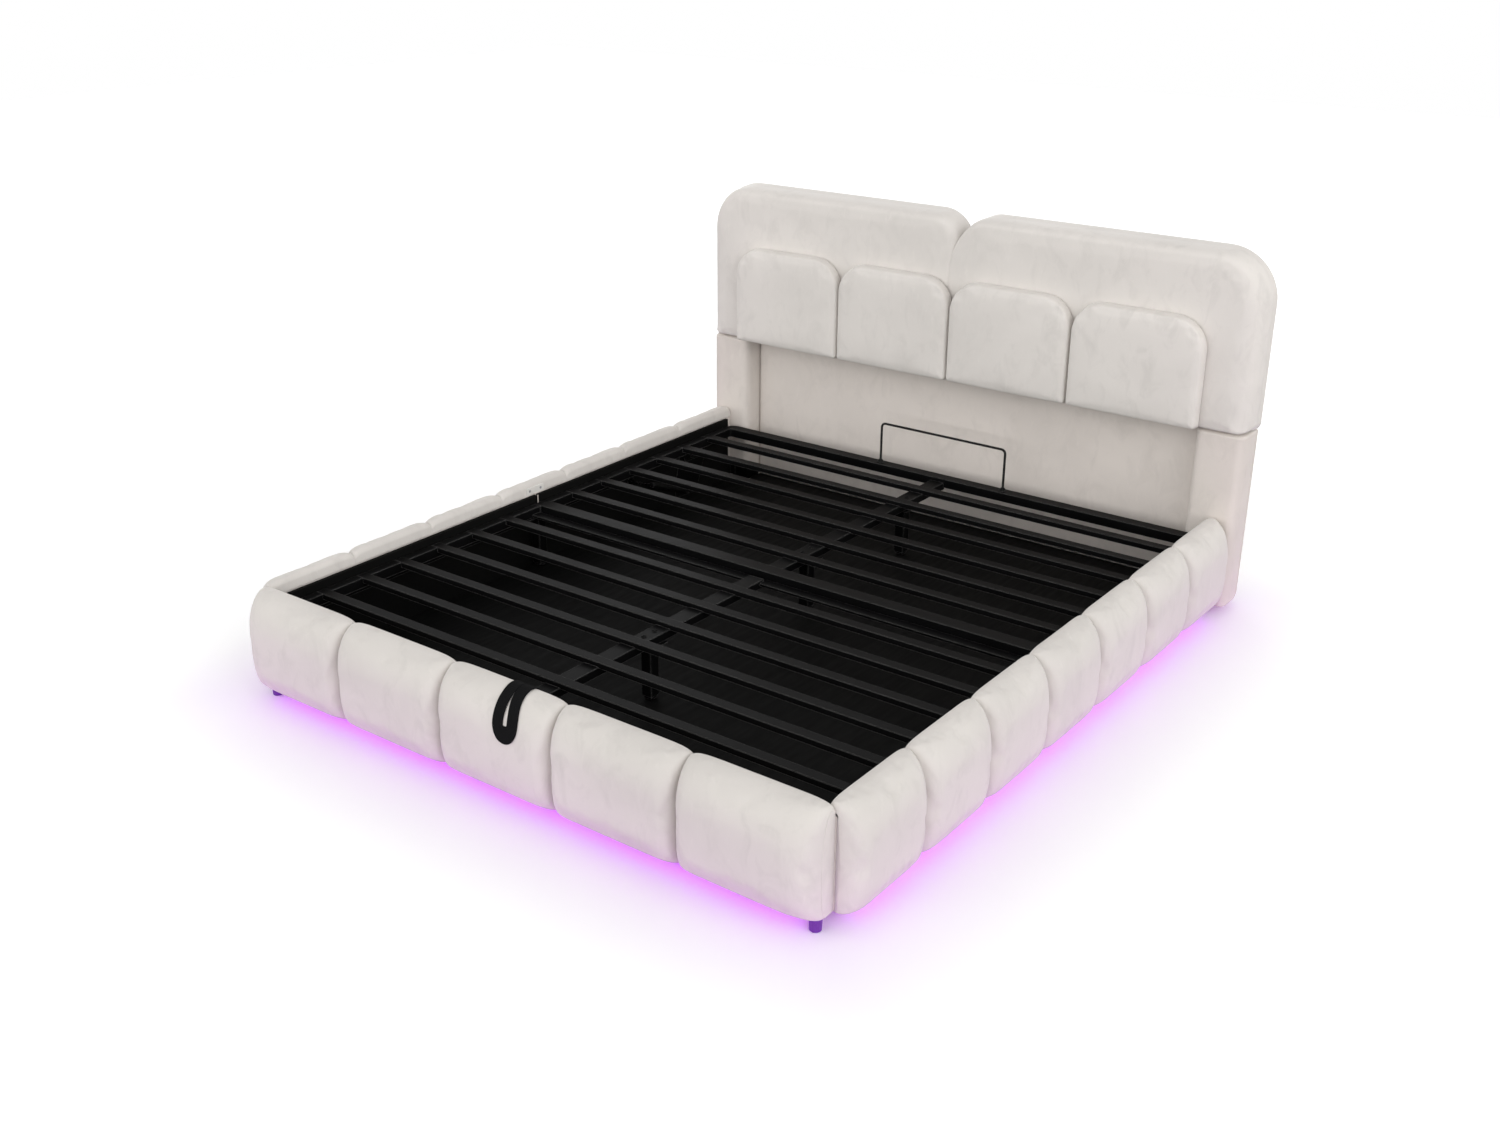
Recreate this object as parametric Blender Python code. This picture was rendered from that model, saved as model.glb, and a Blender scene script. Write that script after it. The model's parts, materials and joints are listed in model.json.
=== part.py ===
"""Upholstered velvet storage bed with a lifting slat frame.

Puffed rails and a two-tier padded headboard stand round a shallow storage
floor. A welded slat frame in two halves lies on angles inside the rails. It
turns on two hinge plates near the headboard, so that its foot end rises, and
a gas strut on each side carries it. Metres, +Z up, the headboard towards +Y,
the origin on the floor under the middle of the bed.
"""
import math

import bmesh
import bpy
from mathutils import Vector

# Overall size
INNER_WIDTH = 1.810
INNER_LENGTH = 2.035
FRONT_PUFF_DEPTH = 0.098
HEADBOARD_DEPTH = 0.130
GAP = 0.0003
CUT_OVERRUN = 0.004

# Rails and their puffs
RAIL_BOTTOM = 0.045
RAIL_TOP = 0.318
CHANNEL_DIP = 0.014
BOARD_TOP = 0.285
SIDE_BOARD = 0.020
FRONT_BOARD = 0.022
FRONT_OVERLAP = 0.015
SIDE_PUFF_DEPTH = 0.084
SIDE_CHANNEL_DEPTH = 0.034
FRONT_CHANNEL_DEPTH = 0.045
FRONT_PUFFS = 5
SIDE_PUFFS = 7
BOARD_EDGE = 0.003

# Headboard
CUSHION_OVERLAP = 0.087
POST_INSET = 0.012
POST_WIDTH = 0.152
POST_BOTTOM = 0.024
POST_FRONT_RADIUS = 0.040
POST_REAR_RADIUS = 0.010
POST_EDGE = 0.005
SEAM_HEIGHT = 0.571
HEADBOARD_TOP = 1.107
CUSHION_CORNER = 0.155
CUSHION_INNER_CORNER = 0.105
CUSHION_FOOT_CORNER = 0.014
CUSHION_PROUD = 0.010
CUSHION_ROUND = 0.085
SMALL_CUSHIONS = 4
SMALL_ROW_MARGIN = 0.147
SMALL_BOTTOM = 0.578
SMALL_TOP = 0.910
SMALL_THICKNESS = 0.050
SMALL_CORNER = 0.100
SMALL_FOOT_CORNER = 0.012
SMALL_ROUND = 0.008
SMALLEST_RADIUS = 0.001
BACK_BOARD = 0.020
BACK_BOARD_MARGIN = 0.036
BACK_BOARD_RADIUS = 0.100
BACK_BOARD_BOTTOM = 0.060
BACK_NOTCH_HALF = 0.100
BACK_NOTCH_DEPTH = 0.120
BACK_NOTCH_RADIUS = 0.040
LOWER_PANEL_SETBACK = 0.070
LOWER_PANEL_EDGE = 0.012

# Feet and glides
FOOT_RADIUS = 0.016
FOOT_TAPER = 0.002
FOOT_INSET = 0.027
GLIDE_RADIUS = 0.018
GLIDE_SETBACK = 0.065

# Storage base
PANEL = 0.012
PANEL_TOP = 0.275
PANEL_FOOT_MARGIN = 0.052
PANEL_HEAD_MARGIN = 0.028
PANEL_JOINT = 0.008
PANEL_EDGE = 0.001
FLOOR_TOP = 0.052
FLOOR = 0.006
FLOOR_UNDER_PANEL = 0.020
BATTEN_WIDTH = 0.040
BATTEN_MARGIN = 0.020
BATTEN_INSET = 0.045
BATTEN_RELIEF = 0.010
BATTEN_FOOT = 0.060
BATTEN_FEET = 5
LED_WIDTH = 0.010
LED_HEIGHT = 0.0032
LED_MARGIN = 0.055

# Steel fittings
STEEL = 0.003
LEDGER_FLANGE = 0.030
LEDGER_WEB = 0.025
LEDGER_START = 0.060
LEDGER_ARM_SPACE = 0.015
LEDGER_RELIEF = 0.070
FRONT_LEDGER_INSET = 0.105
FRONT_LEDGER_FLANGE = 0.027
FRONT_BRACKET_BOTTOM = 0.100
FRONT_BRACKET_TOP = 0.200
FRONT_BRACKET_FLANGE = 0.050
REAR_BRACKET_BOTTOM = 0.058
REAR_BRACKET_TOP = 0.110
REAR_BRACKET_FLANGE = 0.025
PLATE_LENGTH = 0.075
PLATE_HEIGHT = 0.022
PLATE_TOP = 0.302
PLATE_THICKNESS = 0.002
PLATE_RADIUS = 0.003

# Lifting slat frame
SLAT_TOP = 0.254
TUBE_WIDTH = 0.028
TUBE_HEIGHT = 0.030
HEAD_TUBE_WIDTH = 0.040
TUBE_EDGE = 0.0015
FRAME_SETBACK = 0.0038
FRAME_FOOT_CLEARANCE = 0.006
FRAME_HEAD_CLEARANCE = 0.020
HEAD_CORNER = 0.035
FOOT_CORNER = 0.006
SLATS = 6
SLAT_WIDTH = 0.0315
SLAT_HEIGHT = 0.0175
SLAT_RISE = 0.0008
SLAT_END_INSET = 0.003
WELD_STEP = 0.0005
WELD_DEPTH = 0.006
JOINT_SETBACK = 0.028
JOINT_DROP = 0.020
JOINT_TUBE_HEIGHT = 0.0095
JOINT_TUBE_WIDTH = 0.034
MIDDLE_TUBE_WIDTH = 0.0465
MIDDLE_TUBE_OFFSET = 0.0035
FRONT_FIRST_SPACE = 0.1145
FRONT_LAST_SPACE = 0.108
REAR_FIRST_SPACE = 0.114
REAR_LAST_SPACE = 0.117
SPINE_WIDTH = 0.050
SPINE_HEIGHT = 0.025
SPINE_BITE = 0.0037

# Legs under the frame
LEG_WIDTH = 0.035
LEG_RADIUS = 0.004
LEG_PLATE = 0.070
LEG_PLATE_THICKNESS = 0.003
LEG_FOOT_WIDTH = 0.033
LEG_FOOT_HEIGHT = 0.012
LEG_FOOT_RADIUS = 0.010
LEG_FOOT_ROUND = 0.006
SIDE_LEG_INSET = 0.0175
SIDE_LEG_PLATE = 0.110
REAR_LEG_SETBACK = 0.022

# Mattress stop
HOOP_HALF = 0.2325
HOOP_HEIGHT = 0.138
HOOP_WIRE = 0.008
HOOP_CORNER = 0.014
HOOP_TAB_LENGTH = 0.026
HOOP_TAB_WIDTH = 0.018
HOOP_TAB_THICKNESS = 0.003
HOOP_TAB_RISE = 0.012

# Pull strap
STRAP_LEFT = 0.0375
STRAP_WIDTH = 0.033
STRAP_SLIT = 0.0007
STRAP_SPREAD = 0.0125
STRAP_SPLIT = 0.087
STRAP_SPLIT_STEPS = 7
STRAP_STEP_LEAST = 0.003
STRAP_THICKNESS = 0.0024
STRAP_TURN_DEPTH = 0.0277
STRAP_TURN_WIDTH = 0.0454
STRAP_TURN_STEPS = 12
STRAP_CLEARANCE = 0.0014
STRAP_TAIL = 0.022
STRAP_TUBE_BEND = 0.0018
STRAP_BOTTOM = 0.2018

# Hinge plates and gas struts
ARM_PLAY = 0.0006
ARM = 0.004
PIVOT_SETBACK = 0.250
PIVOT_DROP = 0.024
PIVOT_RADIUS = 0.005
PIVOT_HEAD_RADIUS = 0.010
PIVOT_HEAD = 0.004
ARM_FLANGE = 0.028
ARM_LOBE = 0.017
ARM_REAR_REACH = 0.075
ARM_FRONT_REACH = 0.030
ARM_WAIST = 0.012
STRUT_REACH = 0.340
STRUT_FOOT_SETBACK = 0.045
STRUT_FOOT_DROP = 0.115
STRUT_RADIUS = 0.010
STRUT_SIDE = 0.0128
STRUT_TUBE = 0.205
STRUT_TUBE_START = 0.008
STRUT_CHAMFER = 0.002
BORE_DEPTH = 0.105
ROD_RADIUS = 0.004
ROD_HIDDEN = 0.095
EYE_RADIUS = 0.010
EYE_WIDTH = 0.010
STUD_RADIUS = 0.004
STUD_HEAD_RADIUS = 0.007
STUD_HEAD = 0.004
BOSS_RADIUS = 0.006
BOSS_PLAY = 0.0006
BASE_PLATE_DROP = 0.140
BASE_PLATE_FRONT = 0.085
BASE_PLATE_REAR = 0.075
BASE_PLATE_TOE = 0.030
BASE_PLATE_SHOULDER = 0.060
BASE_PLATE_RADIUS = 0.012

# Facets
CORNER_STEPS = 5
ROUND_SIDES = 16
WIRE_SIDES = 10
EDGE_ANGLE = math.radians(40)

# Puff section from the inner top edge over the crown to the underside,
# as shares of the rail's depth and height
PUFF_PROFILE_SHARES = (
    (0.00, 0.955), (0.04, 0.982), (0.14, 0.997), (0.27, 1.000), (0.45, 0.977),
    (0.69, 0.910), (0.88, 0.795), (0.98, 0.630), (1.00, 0.440), (0.98, 0.250),
    (0.91, 0.110), (0.81, 0.035), (0.69, 0.000),
)
# Stations along one puff, as shares of its length
PUFF_STATION_SHARES = (0.0, 0.02, 0.06, 0.14, 0.50, 0.86, 0.94, 0.98)
PUFF_FULLNESS = 8.0
PUFF_SHOULDER = 0.5
# Cushion section from back to front: inset and depth shares
CUSHION_SECTION_SHARES = (
    (0.30, 0.00), (0.04, 0.20), (0.00, 0.42), (0.10, 0.66), (0.34, 0.85),
    (0.72, 0.955), (1.30, 1.00),
)
# The small cushions turn tightly and then rise in a shallow dome
SMALL_SECTION_SHARES = (
    (0.30, 0.00), (0.04, 0.20), (0.00, 0.42), (0.12, 0.60), (0.50, 0.76), (1.50, 0.88),
    (4.00, 0.96), (8.00, 1.00),
)

# Places that follow from the sizes
FRONT_REACH = FRONT_PUFF_DEPTH + STRAP_CLEARANCE + STRAP_THICKNESS
BED_LENGTH = FRONT_REACH + INNER_LENGTH + HEADBOARD_DEPTH
FOOT = FRONT_REACH - BED_LENGTH / 2
HEAD = FOOT + INNER_LENGTH
REAR = HEAD + HEADBOARD_DEPTH
MIDDLE = FOOT + INNER_LENGTH / 2
SIDE = INNER_WIDTH / 2
FRONT_HALF = SIDE + FRONT_OVERLAP
FRONT_LEDGER_HALF = SIDE - FRONT_LEDGER_INSET
CUSHION_OUTER = SIDE + CUSHION_OVERLAP
POST_OUTER = CUSHION_OUTER - POST_INSET
POST_INNER = POST_OUTER - POST_WIDTH
SMALL_ROW_WIDTH = 2 * (CUSHION_OUTER - SMALL_ROW_MARGIN)
CUSHION_BACK = REAR - BACK_BOARD - GAP
CUSHION_FRONT = HEAD - CUSHION_PROUD
LOWER_PANEL_BOTTOM = FLOOR_TOP + GAP
PANEL_FACE = SIDE - GAP - PANEL
BASE_PLATE_FACE = PANEL_FACE - GAP - STEEL
ARM_FACE = BASE_PLATE_FACE - ARM_PLAY
ARM_INNER = ARM_FACE - ARM
FRAME_HALF = ARM_FACE - FRAME_SETBACK
FRAME_FOOT = FOOT + FRAME_FOOT_CLEARANCE
FRAME_HEAD = HEAD - FRAME_HEAD_CLEARANCE
FRAME_JOINT = MIDDLE - JOINT_SETBACK
FRAME_INNER = FRAME_HALF - TUBE_WIDTH
TUBE_REACH = FRAME_INNER + WELD_DEPTH
JOINT_TUBE = FRAME_JOINT - GAP - WELD_STEP - JOINT_TUBE_WIDTH / 2
TUBE_BOTTOM = SLAT_TOP - TUBE_HEIGHT
SLAT_LINE = SLAT_TOP + SLAT_RISE
SPINE_TOP = SLAT_LINE - SLAT_HEIGHT + SPINE_BITE
SPINE_BOTTOM = SPINE_TOP - SPINE_HEIGHT
LEDGER_TOP = TUBE_BOTTOM - GAP
PIVOT_Y = HEAD - PIVOT_SETBACK
PIVOT_Z = TUBE_BOTTOM - PIVOT_DROP
ARM_START = PIVOT_Y - STRUT_REACH - ARM_FRONT_REACH
STRUT_Y = PIVOT_Y - STRUT_FOOT_SETBACK
STRUT_Z = PIVOT_Z - STRUT_FOOT_DROP
STRUT_X = ARM_INNER - STRUT_SIDE
STRUT_RISE = STRUT_FOOT_DROP
STRUT_RUN = STRUT_REACH - STRUT_FOOT_SETBACK
STRUT_LENGTH = math.hypot(STRUT_RUN, STRUT_RISE)
STRUT_ANGLE = math.atan2(STRUT_RISE, -STRUT_RUN)
PIVOT = Vector((0, PIVOT_Y, PIVOT_Z))

VELVET_COLOUR = (0.66, 0.63, 0.60, 1)
LINING_COLOUR = (0.012, 0.012, 0.013, 1)
POWDER_COLOUR = (0.018, 0.018, 0.019, 1)
WHITE_COLOUR = (0.72, 0.70, 0.67, 1)
LED_COLOUR = (0.80, 0.32, 0.95, 1)
WEBBING_COLOUR = (0.013, 0.013, 0.014, 1)
ROD_COLOUR = (0.050, 0.050, 0.054, 1)
FOOT_COLOUR = (0.020, 0.020, 0.022, 1)


def clear_scene():
    for old in list(bpy.data.objects):
        bpy.data.objects.remove(old, do_unlink=True)


def principled(name, colour, roughness, metallic):
    """Return the named material, made once."""
    known = bpy.data.materials.get(name)
    if known:
        return known
    made = bpy.data.materials.new(name)
    made.use_nodes = True
    shader = made.node_tree.nodes["Principled BSDF"]
    shader.inputs["Base Color"].default_value = colour
    shader.inputs["Roughness"].default_value = roughness
    shader.inputs["Metallic"].default_value = metallic
    made.diffuse_color = colour
    return made


def velvet():
    return principled("velvet", VELVET_COLOUR, roughness=0.85, metallic=0)


def black_lining():
    return principled("black_lining", LINING_COLOUR, roughness=0.7, metallic=0)


def black_steel():
    return principled("black_steel", POWDER_COLOUR, roughness=0.45, metallic=0)


def white_steel():
    return principled("white_steel", WHITE_COLOUR, roughness=0.45, metallic=0)


def led_silicone():
    return principled("led_silicone", LED_COLOUR, roughness=0.4, metallic=0)


def webbing():
    return principled("webbing", WEBBING_COLOUR, roughness=0.9, metallic=0)


def rod_nitrided():
    return principled("rod_nitrided", ROD_COLOUR, roughness=0.25, metallic=1)


def black_plastic():
    return principled("black_plastic", FOOT_COLOUR, roughness=0.5, metallic=0)


def empty(name, location, tilt=0):
    """Add an empty on a joint's axis."""
    made = bpy.data.objects.new(name, None)
    made.location = location
    made.rotation_euler = (tilt, 0, 0)
    bpy.context.collection.objects.link(made)
    return made


def add(name, shape, material, origin=None, parent=None):
    """Turn a bmesh into an object whose origin lies at the given point.

    Under a parent the shape is already in the parent's frame.
    """
    origin = Vector(origin) if origin is not None else Vector()
    bmesh.ops.translate(shape, verts=shape.verts, vec=-origin)
    bmesh.ops.recalc_face_normals(shape, faces=shape.faces)
    mesh = bpy.data.meshes.new(name)
    shape.to_mesh(mesh)
    shape.free()
    mesh.materials.append(material)
    made = bpy.data.objects.new(name, mesh)
    made.location = origin
    made.parent = parent
    bpy.context.collection.objects.link(made)
    return made


def smooth(piece, angle=EDGE_ANGLE):
    piece.data.shade_smooth()
    piece.data.set_sharp_from_angle(angle=angle)
    return piece


def soften(piece, width, segments=2):
    """Round the sharp edges of a piece."""
    bevel = piece.modifiers.new("edges", "BEVEL")
    bevel.width = width
    bevel.segments = segments
    bevel.limit_method = "ANGLE"
    bevel.angle_limit = EDGE_ANGLE
    return piece


def as_tool(piece):
    piece.hide_render = True
    piece.display_type = "WIRE"
    return piece


def combine(piece, tool, operation):
    """Join a tool to a piece, or cut it out."""
    step = piece.modifiers.new(operation.lower(), "BOOLEAN")
    step.operation = operation
    step.solver = "EXACT"
    step.object = as_tool(tool)
    return piece


def rounded_outline(corners, steps=CORNER_STEPS):
    """Closed outline through (a, b, radius) corners, each turned as an arc."""
    points = []
    for index, (a, b, radius) in enumerate(corners):
        here = Vector((a, b))
        if radius == 0:
            points.append(here)
            continue
        towards = (Vector(corners[index - 1][:2]) - here).normalized()
        onward = (Vector(corners[(index + 1) % len(corners)][:2]) - here).normalized()
        half = towards.angle(onward) / 2
        reach = radius / math.tan(half)
        centre = here + (towards + onward).normalized() * (radius / math.sin(half))
        start = here + towards * reach - centre
        end = here + onward * reach - centre
        turn = start.angle(end)
        for step in range(steps + 1):
            share = step / steps
            first = math.sin((1 - share) * turn) / math.sin(turn)
            last = math.sin(share * turn) / math.sin(turn)
            points.append(centre + start * first + end * last)
    return points


def rectangle(low, high, radius=0):
    return [(low[0], low[1], radius), (high[0], low[1], radius),
            (high[0], high[1], radius), (low[0], high[1], radius)]


def circle(radius, sides=ROUND_SIDES):
    turn = 2 * math.pi / sides
    return [Vector((radius * math.cos(turn * k), radius * math.sin(turn * k))) for k in range(sides)]


def across(axis, along, point):
    """Place an outline point on the plane at this distance along an axis."""
    if axis == "X":
        return Vector((along, point[0], point[1]))
    if axis == "Y":
        return Vector((point[0], along, point[1]))
    return Vector((point[0], point[1], along))


def loft(rings):
    """Skin rings of equally many points, with flat ends."""
    shape = bmesh.new()
    loops = [[shape.verts.new(point) for point in ring] for ring in rings]
    sides = len(loops[0])
    for near, far in zip(loops, loops[1:]):
        for side in range(sides):
            after = (side + 1) % sides
            shape.faces.new((near[side], near[after], far[after], far[side]))
    shape.faces.new(loops[0][::-1])
    shape.faces.new(loops[-1])
    return shape


def prism(axis, outline, low, high):
    """Extrude a flat outline between two places on an axis."""
    return loft([[across(axis, along, point) for point in outline] for along in (low, high)])


def turned(axis, profile, centre=(0, 0), sides=ROUND_SIDES):
    """Turn (place along the axis, radius) points about a line along the axis."""
    rings = []
    for along, radius in profile:
        ring = [point + Vector(centre) for point in circle(radius, sides)]
        rings.append([across(axis, along, point) for point in ring])
    return loft(rings)


def box(low, high):
    return prism("Z", rounded_outline(rectangle(low[:2], high[:2])), low[2], high[2])


def middle_of(low, high):
    return (Vector(low) + Vector(high)) / 2


def board(name, low, high, material, edge=BOARD_EDGE, segments=1):
    """A flat board between two corners, with eased edges."""
    made = add(name, box(low, high), material, origin=middle_of(low, high))
    return soften(made, edge, segments)


def sided(name, side):
    return f"{name}_{'left' if side < 0 else 'right'}"


def span(side, inner, outer):
    """Low and high x of something between two distances from the middle."""
    return sorted((side * inner, side * outer))


def puff_profile(depth, fullness, board_depth):
    """Section of a rail cushion: out from the inner face, and up."""
    top = RAIL_TOP - CHANNEL_DIP * (1 - fullness)
    skin = [(depth * out, RAIL_BOTTOM + (top - RAIL_BOTTOM) * up) for out, up in PUFF_PROFILE_SHARES]
    seat = board_depth + GAP
    shelf = BOARD_TOP + GAP
    return skin + [(seat, RAIL_BOTTOM), (seat, shelf), (0, shelf)]


def puff_fullness(share):
    """How far a puff swells at a share of its length, nought at its channels."""
    off = abs(share + share - 1)
    return (1 - off ** PUFF_FULLNESS) ** PUFF_SHOULDER


def rail_cushion(name, puffs, start, length, channel, crown, board_depth, place, origin):
    """One upholstered skin of equal puffs, drawn in to a channel between each two."""
    rings = []
    stations = [(puff + share) / puffs for puff in range(puffs) for share in PUFF_STATION_SHARES]
    for station in stations + [1]:
        fullness = puff_fullness(station * puffs % 1)
        depth = channel + (crown - channel) * fullness
        section = puff_profile(depth, fullness, board_depth)
        rings.append([place(out, start + station * length, up) for out, up in section])
    made = add(name, loft(rings), velvet(), origin=origin)
    return smooth(made)


def front_rail():
    low = (-FRONT_HALF, FOOT - FRONT_BOARD, RAIL_BOTTOM)
    board("front_rail_board", low, (FRONT_HALF, FOOT, BOARD_TOP), velvet())
    rail_cushion(
        "front_rail_cushion", FRONT_PUFFS, -FRONT_HALF, FRONT_HALF + FRONT_HALF,
        FRONT_CHANNEL_DEPTH, FRONT_PUFF_DEPTH, FRONT_BOARD,
        lambda out, along, up: Vector((along, FOOT - out, up)), (0, FOOT, RAIL_BOTTOM))


def side_rail(side):
    halves = {"front": (FOOT + GAP, MIDDLE - GAP / 2), "rear": (MIDDLE + GAP / 2, HEAD - GAP)}
    inner, outer = span(side, SIDE, SIDE + SIDE_BOARD)
    for half, (start, end) in halves.items():
        name = f"{sided('side_rail_board', side)}_{half}"
        board(name, (inner, start, RAIL_BOTTOM), (outer, end, BOARD_TOP), velvet())
    rail_cushion(
        sided("side_rail_cushion", side), SIDE_PUFFS, FOOT + GAP, INNER_LENGTH - GAP - GAP,
        SIDE_CHANNEL_DEPTH, SIDE_PUFF_DEPTH, SIDE_BOARD,
        lambda out, along, up: Vector((side * (SIDE + out), along, up)),
        (side * SIDE, MIDDLE, RAIL_BOTTOM))


def mending_plate(side):
    """The small plate that ties the two rail halves at their joint."""
    low, high = span(side, SIDE - GAP - PLATE_THICKNESS, SIDE - GAP)
    outline = rounded_outline(rectangle(
        (MIDDLE - PLATE_LENGTH / 2, PLATE_TOP - PLATE_HEIGHT),
        (MIDDLE + PLATE_LENGTH / 2, PLATE_TOP), PLATE_RADIUS))
    add(sided("rail_mending_plate", side), prism("X", outline, low, high), white_steel(),
        origin=(side * SIDE, MIDDLE, PLATE_TOP))


def corner_bracket(side, end):
    """Folded steel angle that ties a side rail to the front rail or a post."""
    if end == "front":
        wall, into, flange = FOOT + GAP, 1, FRONT_BRACKET_FLANGE
        bottom, top = FRONT_BRACKET_BOTTOM, FRONT_BRACKET_TOP
    else:
        wall, into, flange = HEAD - GAP, -1, REAR_BRACKET_FLANGE
        bottom, top = REAR_BRACKET_BOTTOM, REAR_BRACKET_TOP
    face = SIDE - GAP
    corners = [
        (side * face, wall, 0), (side * (face - flange), wall, 0),
        (side * (face - flange), wall + into * STEEL, 0),
        (side * (face - STEEL), wall + into * STEEL, STEEL),
        (side * (face - STEEL), wall + into * flange, 0), (side * face, wall + into * flange, 0),
    ]
    add(f"{sided('corner_bracket', side)}_{end}",
        prism("Z", rounded_outline(corners), bottom, top), black_steel(),
        origin=(side * face, wall, bottom))


def post(side):
    """Padded headboard leg with rolled front edges."""
    corners = [
        (side * POST_INNER, HEAD, POST_FRONT_RADIUS), (side * POST_OUTER, HEAD, POST_FRONT_RADIUS),
        (side * POST_OUTER, REAR, POST_REAR_RADIUS), (side * POST_INNER, REAR, POST_REAR_RADIUS),
    ]
    made = add(sided("headboard_post", side),
               prism("Z", rounded_outline(corners), POST_BOTTOM, SEAM_HEIGHT - GAP), velvet(),
               origin=(side * POST_OUTER, HEAD, POST_BOTTOM))
    smooth(soften(made, POST_EDGE))


def lower_panel():
    low = (GAP - POST_INNER, HEAD + LOWER_PANEL_SETBACK, LOWER_PANEL_BOTTOM)
    high = (POST_INNER - GAP, CUSHION_BACK, SEAM_HEIGHT - GAP)
    made = board("headboard_lower_panel", low, high, velvet(), LOWER_PANEL_EDGE, segments=3)
    smooth(made)


def back_board():
    """The board that carries the headboard, shouldered over the two posts."""
    inner = POST_INNER - GAP
    outer = CUSHION_OUTER - BACK_BOARD_MARGIN
    top = HEADBOARD_TOP - BACK_BOARD_MARGIN
    right = [
        (inner, BACK_BOARD_BOTTOM, 0), (inner, SEAM_HEIGHT, 0), (outer, SEAM_HEIGHT, 0),
        (outer, top, BACK_BOARD_RADIUS), (BACK_NOTCH_HALF, top, BACK_NOTCH_RADIUS),
    ]
    left = [(-a, b, radius) for a, b, radius in reversed(right)]
    corners = right + [(0, top - BACK_NOTCH_DEPTH, 0)] + left
    add("headboard_back_board", prism("Y", rounded_outline(corners), CUSHION_BACK + GAP, REAR),
        velvet(), origin=(0, REAR, BACK_BOARD_BOTTOM))


def cushion(name, low, high, radii, edge_round, section, back, front):
    """A padded block that swells from its back edge and crowns at its front."""
    rings = []
    for inset_share, depth_share in section:
        inset = edge_round * inset_share
        corners = []
        for (a, b), (step_a, step_b), radius in zip(
                ((low[0], low[1]), (high[0], low[1]), (high[0], high[1]), (low[0], high[1])),
                ((1, 1), (-1, 1), (-1, -1), (1, -1)), radii):
            corners.append((a + step_a * inset, b + step_b * inset, max(radius - inset, SMALLEST_RADIUS)))
        along = back + (front - back) * depth_share
        rings.append([across("Y", along, point) for point in rounded_outline(corners)])
    made = add(name, loft(rings), velvet(), origin=((low[0] + high[0]) / 2, back, low[1]))
    return smooth(made)


def large_cushion(side):
    low, high = span(side, GAP / 2, CUSHION_OUTER)
    foot = CUSHION_FOOT_CORNER
    tops = (CUSHION_CORNER, CUSHION_INNER_CORNER)[::side]
    cushion(sided("headboard_cushion", side), (low, SEAM_HEIGHT), (high, HEADBOARD_TOP),
            (foot, foot, *tops), CUSHION_ROUND, CUSHION_SECTION_SHARES, CUSHION_BACK, CUSHION_FRONT)


def small_cushion(index):
    pitch = SMALL_ROW_WIDTH / SMALL_CUSHIONS
    start = index * pitch - SMALL_ROW_WIDTH / 2
    back = CUSHION_FRONT - GAP
    foot = SMALL_FOOT_CORNER
    cushion(f"front_cushion_{index + 1}", (start + GAP / 2, SMALL_BOTTOM),
            (start + pitch - GAP / 2, SMALL_TOP), (foot, foot, SMALL_CORNER, SMALL_CORNER),
            SMALL_ROUND, SMALL_SECTION_SHARES, back, back - SMALL_THICKNESS)


def round_foot(name, place, height, radius):
    """A turned foot, a little narrower at the floor."""
    profile = [(0, radius - FOOT_TAPER - FOOT_TAPER), (FOOT_TAPER, radius - FOOT_TAPER),
               (height - GAP, radius)]
    made = add(name, turned("Z", profile, place), black_plastic(), origin=(*place, 0))
    smooth(made)


def feet(side):
    corner = (side * (FRONT_HALF - FOOT_INSET), FOOT - FRONT_BOARD)
    round_foot(sided("front_foot", side), corner, RAIL_BOTTOM, FOOT_RADIUS)
    under_post = (side * (POST_INNER + POST_OUTER) / 2, HEAD + GLIDE_SETBACK)
    round_foot(sided("post_glide", side), under_post, POST_BOTTOM, GLIDE_RADIUS)


def storage_panels(side):
    """Black boards that line the bay, one to each half of the rail."""
    inner, outer = span(side, PANEL_FACE, PANEL_FACE + PANEL)
    halves = {
        "front": (FOOT + PANEL_FOOT_MARGIN, MIDDLE - PANEL_JOINT / 2),
        "rear": (MIDDLE + PANEL_JOINT / 2, HEAD - PANEL_HEAD_MARGIN),
    }
    for half, (start, end) in halves.items():
        low = (inner, start, FLOOR_TOP + GAP)
        board(f"{sided('storage_side_panel', side)}_{half}", low, (outer, end, PANEL_TOP),
              black_lining(), PANEL_EDGE)


def storage_floor():
    """Two floor boards; the rear one runs on between the posts, under the lower panel."""
    reach = SIDE - GAP
    board("storage_floor_front", (-reach, FOOT + GAP, FLOOR_TOP - FLOOR),
          (reach, MIDDLE - GAP / 2, FLOOR_TOP), black_lining(), PANEL_EDGE)
    start = MIDDLE + GAP / 2
    shoulder = HEAD - GAP
    tongue = POST_INNER - GAP
    back = HEAD + LOWER_PANEL_SETBACK + FLOOR_UNDER_PANEL
    right = [(reach, start, 0), (reach, shoulder, 0), (tongue, shoulder, 0), (tongue, back, 0)]
    left = [(-a, b, radius) for a, b, radius in reversed(right)]
    shape = prism("Z", rounded_outline(right + left), FLOOR_TOP - FLOOR, FLOOR_TOP)
    made = add("storage_floor_rear", shape, black_lining(), origin=(0, start, FLOOR_TOP))
    soften(made, PANEL_EDGE, segments=1)


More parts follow.
